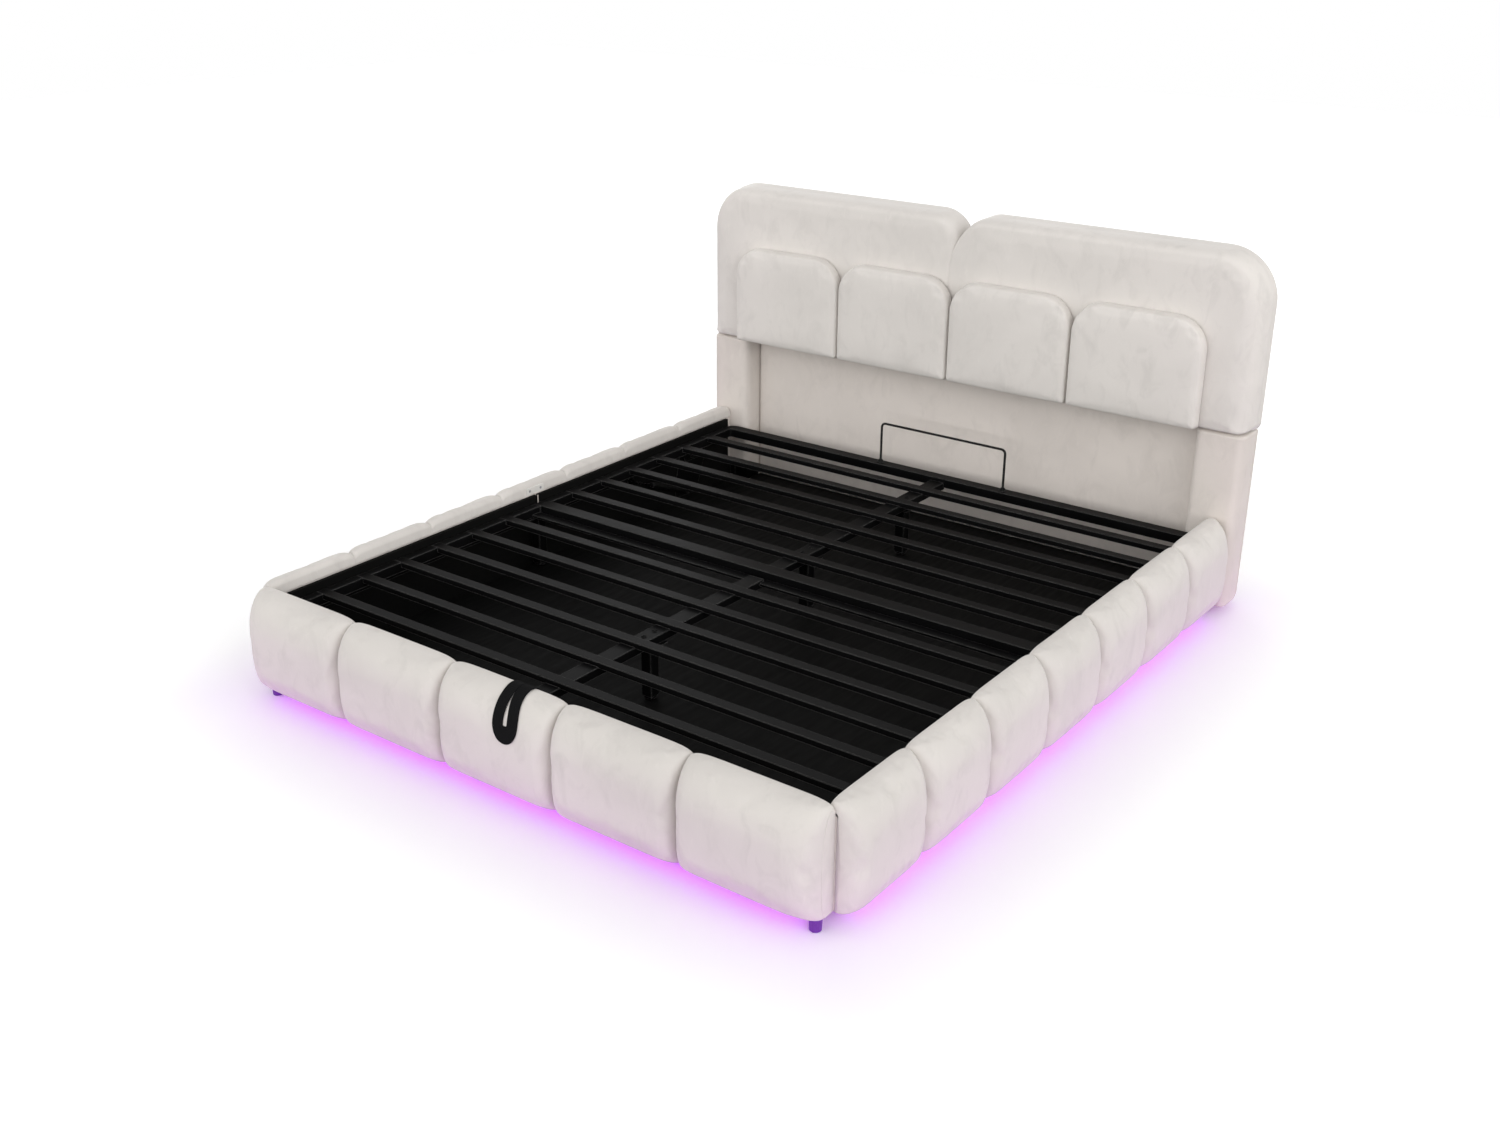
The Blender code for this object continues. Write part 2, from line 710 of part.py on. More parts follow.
def floor_batten(name, centre):
    """Batten under the floor, relieved between the pads that it stands on."""
    start = FOOT + BATTEN_MARGIN
    length = INNER_LENGTH - BATTEN_MARGIN - BATTEN_MARGIN
    pitch = (length - BATTEN_FOOT) / (BATTEN_FEET - 1)
    corners = []
    for index in range(BATTEN_FEET):
        pad = start + index * pitch
        if index:
            corners.append((pad, BATTEN_RELIEF, 0))
        corners.append((pad, 0, 0))
        corners.append((pad + BATTEN_FOOT, 0, 0))
        if index < BATTEN_FEET - 1:
            corners.append((pad + BATTEN_FOOT, BATTEN_RELIEF, 0))
    top = FLOOR_TOP - FLOOR - GAP
    corners += [(start + length, top, 0), (start, top, 0)]
    shape = prism("X", rounded_outline(corners), centre - BATTEN_WIDTH / 2, centre + BATTEN_WIDTH / 2)
    add(name, shape, black_lining(), origin=(centre, start, 0))


def led_strip(name, axis, centre, start, end):
    """Half-round light strip under a rail."""
    top = RAIL_BOTTOM - GAP
    half = LED_WIDTH / 2
    corners = [(centre - half, top, 0), (centre - half, top - LED_HEIGHT, LED_HEIGHT / 2),
               (centre + half, top - LED_HEIGHT, LED_HEIGHT / 2), (centre + half, top, 0)]
    shape = prism(axis, rounded_outline(corners), start, end)
    add(name, shape, led_silicone(), origin=across(axis, start, (centre, top)))


def led_front():
    """The front strip runs crosswise between the two feet."""
    top = RAIL_BOTTOM - GAP
    centre = FOOT - FRONT_BOARD / 2
    half = LED_WIDTH / 2
    reach = FRONT_HALF - LED_MARGIN
    corners = [(centre - half, top, 0), (centre - half, top - LED_HEIGHT, LED_HEIGHT / 2),
               (centre + half, top - LED_HEIGHT, LED_HEIGHT / 2), (centre + half, top, 0)]
    add("led_strip_front", prism("X", rounded_outline(corners), -reach, reach), led_silicone(),
        origin=(0, centre, top))


def side_ledger(side):
    """Steel angle on the side panels that the frame rests on."""
    face = PANEL_FACE - GAP
    start = FOOT + LEDGER_START
    end = ARM_START - LEDGER_ARM_SPACE
    corners = [
        (side * face, LEDGER_TOP, 0), (side * face, LEDGER_TOP - LEDGER_WEB, 0),
        (side * (face - STEEL), LEDGER_TOP - LEDGER_WEB, 0),
        (side * (face - STEEL), LEDGER_TOP - STEEL, 0),
        (side * (face - LEDGER_FLANGE), LEDGER_TOP - STEEL, 0),
        (side * (face - LEDGER_FLANGE), LEDGER_TOP, 0),
    ]
    made = add(sided("side_ledger", side), prism("Y", rounded_outline(corners), start, end),
               black_steel(), origin=(side * face, start, LEDGER_TOP))
    relief_inner, relief_outer = span(side, face - LEDGER_FLANGE - CUT_OVERRUN, face - STEEL - GAP)
    relief = add(sided("ledger_relief", side), box(
        (relief_inner, FRAME_JOINT - LEDGER_RELIEF, LEDGER_TOP - STEEL - CUT_OVERRUN),
        (relief_outer, FRAME_JOINT + LEDGER_RELIEF, LEDGER_TOP + CUT_OVERRUN)), black_steel())
    combine(made, relief, "DIFFERENCE")


def front_ledger():
    wall = FOOT + GAP
    corners = [
        (wall, LEDGER_TOP, 0), (wall, LEDGER_TOP - LEDGER_WEB, 0),
        (wall + STEEL, LEDGER_TOP - LEDGER_WEB, 0), (wall + STEEL, LEDGER_TOP - STEEL, 0),
        (wall + FRONT_LEDGER_FLANGE, LEDGER_TOP - STEEL, 0), (wall + FRONT_LEDGER_FLANGE, LEDGER_TOP, 0),
    ]
    add("front_ledger", prism("X", rounded_outline(corners), -FRONT_LEDGER_HALF, FRONT_LEDGER_HALF),
        black_steel(), origin=(0, wall, LEDGER_TOP))


def lift_shape(shape):
    """Move a shape from the bed's frame to the lift pivot's frame."""
    bmesh.ops.translate(shape, verts=shape.verts, vec=-PIVOT)
    return shape


def tube_tool(name, axis, centre, top, width, height, start, end, lift):
    """A straight tube with eased corners, to be welded into a frame."""
    low = (centre - width / 2, top - height)
    high = (centre + width / 2, top)
    outline = rounded_outline(rectangle(low, high, TUBE_EDGE), steps=1)
    return add(name, lift_shape(prism(axis, outline, start, end)), black_steel(), parent=lift)


def spread(first, last, count):
    return [first + (last - first) * index / (count - 1) for index in range(count)]


def weld_slats(frame, label, places, lift):
    """Slats let into the tubes, with their ends on top of the side runs."""
    reach = FRAME_HALF - SLAT_END_INSET
    for index, place in enumerate(places):
        slat = tube_tool(f"{label}_slat_{index + 1}", "X", place, SLAT_LINE, SLAT_WIDTH, SLAT_HEIGHT,
                         -reach, reach, lift)
        combine(frame, slat, "UNION")


def weld_spine(frame, label, start, end, lift):
    spine = tube_tool(f"{label}_spine", "Y", 0, SPINE_TOP, SPINE_WIDTH, SPINE_HEIGHT, start, end, lift)
    combine(frame, spine, "UNION")


def u_frame(name, ends, cross_width, corner, lift):
    """Bent perimeter tube: a cross end and two side runs.

    The ends are the y of the closed end's outer face and of the open end.
    """
    closed, opened = ends
    inward = 1 if opened > closed else -1
    inner = FRAME_INNER
    inner_corner = max(corner - TUBE_WIDTH, TUBE_EDGE)
    corners = [
        (FRAME_HALF, opened, 0), (FRAME_HALF, closed, corner),
        (-FRAME_HALF, closed, corner), (-FRAME_HALF, opened, 0),
        (-inner, opened, 0), (-inner, closed + inward * cross_width, inner_corner),
        (inner, closed + inward * cross_width, inner_corner), (inner, opened, 0),
    ]
    shape = prism("Z", rounded_outline(corners), TUBE_BOTTOM, SLAT_TOP)
    made = add(name, lift_shape(shape), black_steel(), parent=lift)
    return soften(made, TUBE_EDGE, segments=1)


def front_slat_places():
    first = FRAME_FOOT + TUBE_WIDTH + FRONT_FIRST_SPACE
    last = FRAME_JOINT - TUBE_WIDTH - FRONT_LAST_SPACE
    return spread(first, last, SLATS)


def rear_slat_places():
    first = FRAME_JOINT + MIDDLE_TUBE_OFFSET + MIDDLE_TUBE_WIDTH + REAR_FIRST_SPACE
    last = FRAME_HEAD - HEAD_TUBE_WIDTH - REAR_LAST_SPACE
    return spread(first, last, SLATS)


def front_slat_frame(lift):
    """Foot half of the frame, with its lower joining tube."""
    ends = (FRAME_FOOT, FRAME_JOINT - GAP)
    frame = u_frame("slat_frame_front", ends, TUBE_WIDTH, FOOT_CORNER, lift)
    joint = tube_tool("front_joint_tube", "X", JOINT_TUBE, SLAT_TOP - JOINT_DROP,
                      JOINT_TUBE_WIDTH, JOINT_TUBE_HEIGHT, -TUBE_REACH, TUBE_REACH, lift)
    combine(frame, joint, "UNION")
    weld_slats(frame, "front", front_slat_places(), lift)
    weld_spine(frame, "front", FRAME_FOOT + TUBE_WIDTH - WELD_DEPTH, JOINT_TUBE, lift)


def rear_slat_frame(lift):
    """Head half of the frame, with the wide middle tube and the bent head tube."""
    ends = (FRAME_HEAD, FRAME_JOINT)
    frame = u_frame("slat_frame_rear", ends, HEAD_TUBE_WIDTH, HEAD_CORNER, lift)
    centre = FRAME_JOINT + MIDDLE_TUBE_OFFSET + MIDDLE_TUBE_WIDTH / 2
    middle = tube_tool("middle_tube", "X", centre, SLAT_LINE, MIDDLE_TUBE_WIDTH,
                       SLAT_LINE - TUBE_BOTTOM - WELD_STEP, -TUBE_REACH, TUBE_REACH, lift)
    combine(frame, middle, "UNION")
    weld_slats(frame, "rear", rear_slat_places(), lift)
    weld_spine(frame, "rear", centre, FRAME_HEAD - HEAD_TUBE_WIDTH + WELD_DEPTH, lift)


def leg_ring(centre, half_x, half_y, radius, height):
    low = (centre[0] - half_x, centre[1] - half_y)
    high = (centre[0] + half_x, centre[1] + half_y)
    outline = rounded_outline(rectangle(low, high, radius), steps=2)
    return [across("Z", height, point) for point in outline]


def leg(name, centre, top, plate_x, plate_y, lift):
    """Square leg with a welded top plate and a round-nosed foot plug."""
    bottom = FLOOR_TOP + GAP
    foot = LEG_FOOT_WIDTH / 2
    body = LEG_WIDTH / 2
    nose = foot - LEG_FOOT_ROUND
    shoulder = bottom + LEG_FOOT_HEIGHT
    under_plate = top - LEG_PLATE_THICKNESS
    stations = [
        (nose, nose, LEG_RADIUS, bottom),
        (foot, foot, LEG_FOOT_RADIUS, bottom + LEG_FOOT_ROUND),
        (foot, foot, LEG_FOOT_RADIUS, shoulder),
        (body, body, LEG_RADIUS, shoulder),
        (body, body, LEG_RADIUS, under_plate),
        (plate_x / 2, plate_y / 2, LEG_RADIUS, under_plate),
        (plate_x / 2, plate_y / 2, LEG_RADIUS, top),
    ]
    rings = [leg_ring(centre, *station) for station in stations]
    made = add(name, lift_shape(loft(rings)), black_steel(), parent=lift)
    smooth(made)


def legs(lift):
    front = front_slat_places()
    rear = rear_slat_places()
    places = {
        "front": (front[2] + front[3]) / 2,
        "middle": (rear[0] + rear[1]) / 2,
        "rear": PIVOT_Y - REAR_LEG_SETBACK,
    }
    for label, place in places.items():
        leg(f"centre_leg_{label}", (0, place), SPINE_BOTTOM - GAP, LEG_PLATE, LEG_PLATE, lift)
    for side in (-1, 1):
        centre = (side * (FRAME_HALF - SIDE_LEG_INSET), FRAME_JOINT)
        leg(sided("side_leg", side), centre, TUBE_BOTTOM - GAP, LEG_WIDTH, SIDE_LEG_PLATE, lift)


def hoop(lift):
    """Bent wire mattress stop with flattened tabs on the head tube."""
    base = SLAT_TOP + GAP
    top = SLAT_TOP + HOOP_HEIGHT
    corners = [(-HOOP_HALF, base, 0), (-HOOP_HALF, top, HOOP_CORNER), (HOOP_HALF, top, HOOP_CORNER),
               (HOOP_HALF, base, 0)]
    path = rounded_outline(corners, steps=4)
    line = FRAME_HEAD - HEAD_TUBE_WIDTH / 2
    wire = HOOP_WIRE / 2
    tab = [(base, HOOP_TAB_LENGTH / 2, HOOP_TAB_WIDTH / 2),
           (base + HOOP_TAB_THICKNESS, HOOP_TAB_LENGTH / 2, HOOP_TAB_WIDTH / 2),
           (base + HOOP_TAB_RISE, wire, wire)]
    rings = [oval_ring(-HOOP_HALF, line, up, long, wide, 0) for up, long, wide in tab]
    for index in range(1, len(path) - 1):
        ahead = path[index + 1] - path[index - 1]
        lean = math.atan2(ahead.x, ahead.y)
        rings.append(oval_ring(path[index].x, line, path[index].y, wire, wire, lean))
    rings += [oval_ring(HOOP_HALF, line, up, long, wide, math.pi) for up, long, wide in reversed(tab)]
    smooth(add("mattress_stop_hoop", lift_shape(loft(rings)), black_steel(), parent=lift))


def oval_ring(x, y, z, half_long, half_wide, lean):
    """Ring across a path in the XZ plane that leans this far from upright."""
    ring = []
    for point in circle(1, WIRE_SIDES):
        off = point.x * half_long
        ring.append(Vector((x + off * math.cos(lean), y + point.y * half_wide, z - off * math.sin(lean))))
    return ring


def strap_drape():
    """Centre line of the strap in the YZ plane, from the front tube over the puff."""
    half = STRAP_THICKNESS / 2
    lift_off = STRAP_CLEARANCE + half
    skin = puff_profile(FRONT_PUFF_DEPTH, 1, FRONT_BOARD)[:len(PUFF_PROFILE_SHARES)]
    inner_face = FOOT + lift_off
    points = [Vector((FRAME_FOOT + STRAP_TAIL, SLAT_TOP + GAP + half)),
              Vector((FRAME_FOOT + STRAP_TUBE_BEND, SLAT_TOP + GAP + half)),
              Vector((inner_face, BOARD_TOP)), Vector((inner_face, skin[0][1]))]
    for index in range(1, len(skin) - 1):
        here = Vector((FOOT - skin[index][0], skin[index][1]))
        run = Vector(skin[index + 1]) - Vector(skin[index - 1])
        here += Vector((run.y, run.x)).normalized() * lift_off
        if here.y < STRAP_BOTTOM:
            break
        points.append(here)
    points.append(Vector((FOOT - FRONT_REACH + half, STRAP_BOTTOM)))
    return points


def drape_stations(points):
    """Distance along the drape, place and outward direction at each of its points."""
    stations = []
    distance = 0
    for index, point in enumerate(points):
        before = points[max(index - 1, 0)]
        after = points[min(index + 1, len(points) - 1)]
        distance += (point - before).length
        run = after - before
        stations.append((distance, point, Vector((run.y, -run.x)).normalized()))
    return stations


def on_drape(stations, distance):
    """Place and outward direction at a distance along the drape."""
    for near, far in zip(stations, stations[1:]):
        if distance <= far[0] or far is stations[-1]:
            share = (distance - near[0]) / (far[0] - near[0])
            return near[1].lerp(far[1], share), near[2].lerp(far[2], share).normalized()


def strap_spread(share):
    """How far the second leg has moved aside, from the split to the turn."""
    share = max(share, 0)
    return STRAP_SPREAD * share * share * (3 - share - share)


def strap_places(drape, straight):
    """Distances of a leg's cross sections, closer together below the split."""
    split = straight - STRAP_SPLIT
    step = STRAP_SPLIT / STRAP_SPLIT_STEPS
    places = [split + index * step for index in range(STRAP_SPLIT_STEPS)]
    for distance, _, _ in drape:
        if distance < straight - STRAP_STEP_LEAST and min(
                abs(distance - place) for place in places) > STRAP_STEP_LEAST:
            places.append(distance)
    return sorted(places)


def strap(lift):
    """Webbing loop: down one leg, round a deep flat turn and up the other.

    The legs lie side by side over the rail's top and part below the split.
    """
    drape = drape_stations(strap_drape())
    straight = drape[-1][0] - STRAP_TURN_DEPTH - STRAP_TURN_WIDTH / 2
    split = straight - STRAP_SPLIT
    second = STRAP_LEFT + STRAP_WIDTH + STRAP_SLIT
    places = strap_places(drape, straight)
    path = [(distance, STRAP_LEFT, STRAP_WIDTH, 0) for distance in places]
    half_turn = (second + STRAP_SPREAD - STRAP_LEFT) / 2
    for step in range(STRAP_TURN_STEPS + 1):
        angle = math.pi * step / STRAP_TURN_STEPS
        width = STRAP_WIDTH + (STRAP_TURN_WIDTH - STRAP_WIDTH) * math.sin(angle) ** 2
        path.append((straight + STRAP_TURN_DEPTH * math.sin(angle),
                     STRAP_LEFT + half_turn - half_turn * math.cos(angle), width, angle))
    for distance in reversed(places):
        place = second + strap_spread((distance - split) / STRAP_SPLIT)
        path.append((distance, place, STRAP_WIDTH, math.pi))
    rings = []
    for distance, place, width, angle in path:
        ring = []
        for edge, face in ((-1, -1), (1, -1), (1, 1), (-1, 1)):
            sideways = edge * width / 2
            spot, outward = on_drape(drape, distance - sideways * math.sin(angle))
            spot = spot + outward * (face * STRAP_THICKNESS / 2)
            ring.append(Vector((place + sideways * math.cos(angle), spot.x, spot.y)))
        rings.append(ring)
    smooth(add("pull_strap", lift_shape(loft(rings)), webbing(), parent=lift))


def hinge_base_plate(side):
    """Stamped plate with the two riveted studs that carry the arm and the strut."""
    outer = PANEL_FACE - GAP
    low = PIVOT_Z - BASE_PLATE_DROP
    high = LEDGER_TOP - STEEL
    corners = [
        (PIVOT_Y - BASE_PLATE_FRONT, low, BASE_PLATE_RADIUS),
        (PIVOT_Y + BASE_PLATE_TOE, low, BASE_PLATE_RADIUS),
        (PIVOT_Y + BASE_PLATE_REAR, PIVOT_Z - BASE_PLATE_TOE, BASE_PLATE_RADIUS),
        (PIVOT_Y + BASE_PLATE_REAR, high, STEEL),
        (PIVOT_Y - BASE_PLATE_SHOULDER, high, STEEL),
        (PIVOT_Y - BASE_PLATE_FRONT, STRUT_Z + BASE_PLATE_TOE, BASE_PLATE_RADIUS),
    ]
    shape = prism("X", rounded_outline(corners, steps=3), *span(side, BASE_PLATE_FACE, outer))
    made = add(sided("hinge_base_plate", side), shape, black_steel())
    root = BASE_PLATE_FACE + STEEL / 2
    neck = ARM_INNER - GAP
    pivot_profile = [(side * root, PIVOT_RADIUS), (side * neck, PIVOT_RADIUS),
                     (side * neck, PIVOT_HEAD_RADIUS), (side * (neck - PIVOT_HEAD), PIVOT_HEAD_RADIUS)]
    pivot = add(sided("pivot_stud", side), turned("X", pivot_profile, (PIVOT_Y, PIVOT_Z)), black_steel())
    combine(made, pivot, "UNION")
    collar = STRUT_X + EYE_WIDTH / 2 + GAP
    end = STRUT_X - EYE_WIDTH / 2 - GAP
    stud_profile = [
        (side * root, STUD_HEAD_RADIUS), (side * collar, STUD_HEAD_RADIUS),
        (side * collar, STUD_RADIUS), (side * end, STUD_RADIUS),
        (side * end, STUD_HEAD_RADIUS), (side * (end - STUD_HEAD), STUD_HEAD_RADIUS),
    ]
    stud = add(sided("strut_stud", side), turned("X", stud_profile, (STRUT_Y, STRUT_Z)), black_steel())
    combine(made, stud, "UNION")
    smooth(made)


def lift_arm(side, lift):
    """Folded arm under the frame's side tube, hung on the pivot stud."""
    end = PIVOT_Y + ARM_REAR_REACH
    bottom = PIVOT_Z - ARM_LOBE
    section = [
        (side * ARM_FACE, LEDGER_TOP, 0), (side * ARM_FACE, bottom, 0), (side * ARM_INNER, bottom, 0),
        (side * ARM_INNER, LEDGER_TOP - STEEL, 0),
        (side * (ARM_FACE - ARM_FLANGE), LEDGER_TOP - STEEL, 0),
        (side * (ARM_FACE - ARM_FLANGE), LEDGER_TOP, 0),
    ]
    shape = lift_shape(prism("Y", rounded_outline(section), ARM_START, end))
    made = add(sided("lift_arm", side), shape, black_steel(), parent=lift)
    waist = LEDGER_TOP - ARM_WAIST
    below = bottom - CUT_OVERRUN
    reach = span(side, ARM_INNER - CUT_OVERRUN, ARM_FACE + CUT_OVERRUN)
    between = [
        (PIVOT_Y - STRUT_REACH + ARM_LOBE, below, 0), (PIVOT_Y - ARM_LOBE - ARM_LOBE, below, 0),
        (PIVOT_Y - ARM_LOBE - ARM_LOBE - ARM_WAIST, waist, ARM_WAIST),
        (PIVOT_Y - STRUT_REACH + ARM_LOBE + ARM_WAIST, waist, ARM_WAIST),
    ]
    outline = rounded_outline(between, steps=3)
    waist_shape = lift_shape(prism("X", outline, *reach))
    waist_cut = add(sided("arm_waist", side), waist_shape, black_steel(), parent=lift)
    combine(made, waist_cut, "DIFFERENCE")
    hole = turned("X", [(along, PIVOT_RADIUS + GAP) for along in reach], (PIVOT_Y, PIVOT_Z))
    pivot_hole = add(sided("pivot_hole", side), lift_shape(hole), black_steel(), parent=lift)
    combine(made, pivot_hole, "DIFFERENCE")
    eye_side = STRUT_X + EYE_WIDTH / 2
    profile = [(side * (ARM_INNER + ARM / 2), BOSS_RADIUS), (side * (eye_side + BOSS_PLAY), BOSS_RADIUS)]
    stub = turned("X", profile, (PIVOT_Y - STRUT_REACH, PIVOT_Z))
    boss = add(sided("strut_boss", side), lift_shape(stub), black_steel(), parent=lift)
    combine(made, boss, "UNION")
    smooth(made)


def eye_tool(name, place, pivot):
    """Round eye across the strut."""
    profile = [(along, EYE_RADIUS) for along in (-EYE_WIDTH / 2, EYE_WIDTH / 2)]
    return add(name, turned("X", profile, (place, 0)), black_steel(), parent=pivot)


def gas_strut(side, pivot):
    """Cylinder on the base stud and the rod that slides in it, along local +Y."""
    tube_profile = [
        (STRUT_TUBE_START, STRUT_RADIUS - STRUT_CHAMFER), (STRUT_TUBE_START + STRUT_CHAMFER, STRUT_RADIUS),
        (STRUT_TUBE - STRUT_CHAMFER, STRUT_RADIUS), (STRUT_TUBE, STRUT_RADIUS - STRUT_CHAMFER),
        (STRUT_TUBE, ROD_RADIUS + GAP), (STRUT_TUBE - BORE_DEPTH, ROD_RADIUS + GAP),
    ]
    cylinder = add(sided("strut_cylinder", side), turned("Y", tube_profile), black_steel(), parent=pivot)
    lower_eye = eye_tool(sided("lower_eye", side), 0, pivot)
    combine(cylinder, lower_eye, "UNION")
    eye_bore = [(along, STUD_RADIUS + GAP) for along in (-EYE_WIDTH, EYE_WIDTH)]
    bore = add(sided("eye_bore", side), turned("X", eye_bore), black_steel(), parent=pivot)
    combine(cylinder, bore, "DIFFERENCE")
    smooth(cylinder)
    rod_profile = [(STRUT_TUBE - ROD_HIDDEN, ROD_RADIUS), (STRUT_LENGTH - EYE_RADIUS / 2, ROD_RADIUS)]
    rod = add(sided("strut_rod", side), turned("Y", rod_profile), rod_nitrided(), parent=pivot)
    upper_eye = eye_tool(sided("upper_eye", side), STRUT_LENGTH, pivot)
    combine(rod, upper_eye, "UNION")
    half = EYE_WIDTH / 2
    head = [(-side * half / 2, STUD_HEAD_RADIUS), (-side * (half + STUD_HEAD), STUD_HEAD_RADIUS)]
    bolt = turned("X", head, (STRUT_LENGTH, 0))
    bolt_head = add(sided("eye_bolt_head", side), bolt, black_steel(), parent=pivot)
    combine(rod, bolt_head, "UNION")
    smooth(rod)


def fixed_base():
    front_rail()
    front_ledger()
    led_front()
    storage_floor()
    floor_batten("floor_batten_centre", 0)
    for side in (-1, 1):
        side_rail(side)
        mending_plate(side)
        corner_bracket(side, "front")
        corner_bracket(side, "rear")
        feet(side)
        storage_panels(side)
        side_ledger(side)
        floor_batten(sided("floor_batten", side), side * (SIDE - BATTEN_INSET))
        led_strip(sided("led_strip", side), "Y", side * (SIDE + SIDE_BOARD / 2),
                  FOOT + LED_MARGIN, HEAD - LED_MARGIN)
        hinge_base_plate(side)


def headboard():
    lower_panel()
    back_board()
    for side in (-1, 1):
        post(side)
        large_cushion(side)
    for index in range(SMALL_CUSHIONS):
        small_cushion(index)


def lifting_frame():
    lift = empty("lift_pivot", PIVOT)
    front_slat_frame(lift)
    rear_slat_frame(lift)
    legs(lift)
    hoop(lift)
    strap(lift)
    for side in (-1, 1):
        lift_arm(side, lift)


def gas_struts():
    for side in (-1, 1):
        place = (side * STRUT_X, STRUT_Y, STRUT_Z)
        gas_strut(side, empty(sided("strut_pivot", side), place, tilt=STRUT_ANGLE))


def main():
    clear_scene()
    fixed_base()
    headboard()
    lifting_frame()
    gas_struts()


main()
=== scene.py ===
"""Looks of the velvet storage bed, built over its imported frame."""

import json
import math

import bpy
import numpy as np
from mathutils import Matrix, Vector


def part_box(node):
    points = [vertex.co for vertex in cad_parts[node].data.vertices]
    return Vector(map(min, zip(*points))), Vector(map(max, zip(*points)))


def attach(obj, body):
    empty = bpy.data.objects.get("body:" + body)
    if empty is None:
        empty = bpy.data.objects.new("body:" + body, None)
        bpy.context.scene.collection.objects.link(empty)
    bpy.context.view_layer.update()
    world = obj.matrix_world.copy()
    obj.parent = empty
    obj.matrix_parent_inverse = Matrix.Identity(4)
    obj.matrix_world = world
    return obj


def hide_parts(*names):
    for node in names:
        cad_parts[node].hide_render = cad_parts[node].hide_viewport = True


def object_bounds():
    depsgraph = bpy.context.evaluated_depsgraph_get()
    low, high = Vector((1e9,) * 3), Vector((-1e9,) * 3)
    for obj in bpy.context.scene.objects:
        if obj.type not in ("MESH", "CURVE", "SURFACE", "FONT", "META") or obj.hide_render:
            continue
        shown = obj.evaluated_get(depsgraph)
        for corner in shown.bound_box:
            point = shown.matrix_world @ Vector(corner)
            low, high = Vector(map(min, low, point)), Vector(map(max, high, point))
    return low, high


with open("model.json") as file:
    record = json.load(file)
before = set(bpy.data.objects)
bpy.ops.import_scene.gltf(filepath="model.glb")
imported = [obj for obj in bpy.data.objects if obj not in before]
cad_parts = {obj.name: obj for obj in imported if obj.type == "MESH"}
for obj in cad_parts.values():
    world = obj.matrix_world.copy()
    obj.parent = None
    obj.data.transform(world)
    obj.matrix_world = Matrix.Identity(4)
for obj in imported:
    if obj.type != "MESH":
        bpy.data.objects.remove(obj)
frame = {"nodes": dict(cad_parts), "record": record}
cad_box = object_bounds()

# Places taken from the frame, in metres
FRONT_LOW, FRONT_HIGH = (np.array(corner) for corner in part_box("front_rail_cushion"))
FOOT = float(FRONT_HIGH[1])
SIDE = float(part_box("side_rail_board_right_front")[0][0])
HEAD = float(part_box("headboard_post_right")[0][1])
MIDDLE = (FOOT + HEAD) / 2
RAIL_BOTTOM = float(FRONT_LOW[2])
RAIL_TOP = float(FRONT_HIGH[2])
BOARD_TOP = float(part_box("front_rail_board")[1][2])
PANEL_TOP = float(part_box("storage_side_panel_left_front")[1][2])
GAP = 0.0003

# Camera
CAMERA_SPOT = (2.4532, FOOT - 2.3637, 2.0295)
CAMERA_AZIMUTH, CAMERA_ELEVATION, CAMERA_ROLL = (math.radians(a) for a in (36.584, 22.838, 0.282))
FOCAL_LENGTH = 38.148
SENSOR_WIDTH = 36


def place_camera():
    back = Vector((math.sin(CAMERA_AZIMUTH) * math.cos(CAMERA_ELEVATION),
                   -math.cos(CAMERA_AZIMUTH) * math.cos(CAMERA_ELEVATION), math.sin(CAMERA_ELEVATION)))
    level = Vector((math.cos(CAMERA_AZIMUTH), math.sin(CAMERA_AZIMUTH), 0))
    upright = back.cross(level)
    right = level * math.cos(CAMERA_ROLL) + upright * math.sin(CAMERA_ROLL)
    up = upright * math.cos(CAMERA_ROLL) - level * math.sin(CAMERA_ROLL)
    data = bpy.data.cameras.new("camera")
    data.lens = FOCAL_LENGTH
    data.sensor_width = SENSOR_WIDTH
    data.clip_end = 100
    camera = bpy.data.objects.new("camera", data)
    camera.matrix_world = Matrix((
        (right.x, up.x, back.x, CAMERA_SPOT[0]), (right.y, up.y, back.y, CAMERA_SPOT[1]),
        (right.z, up.z, back.z, CAMERA_SPOT[2]), (0, 0, 0, 1)))
    bpy.context.collection.objects.link(camera)
    bpy.context.scene.camera = camera


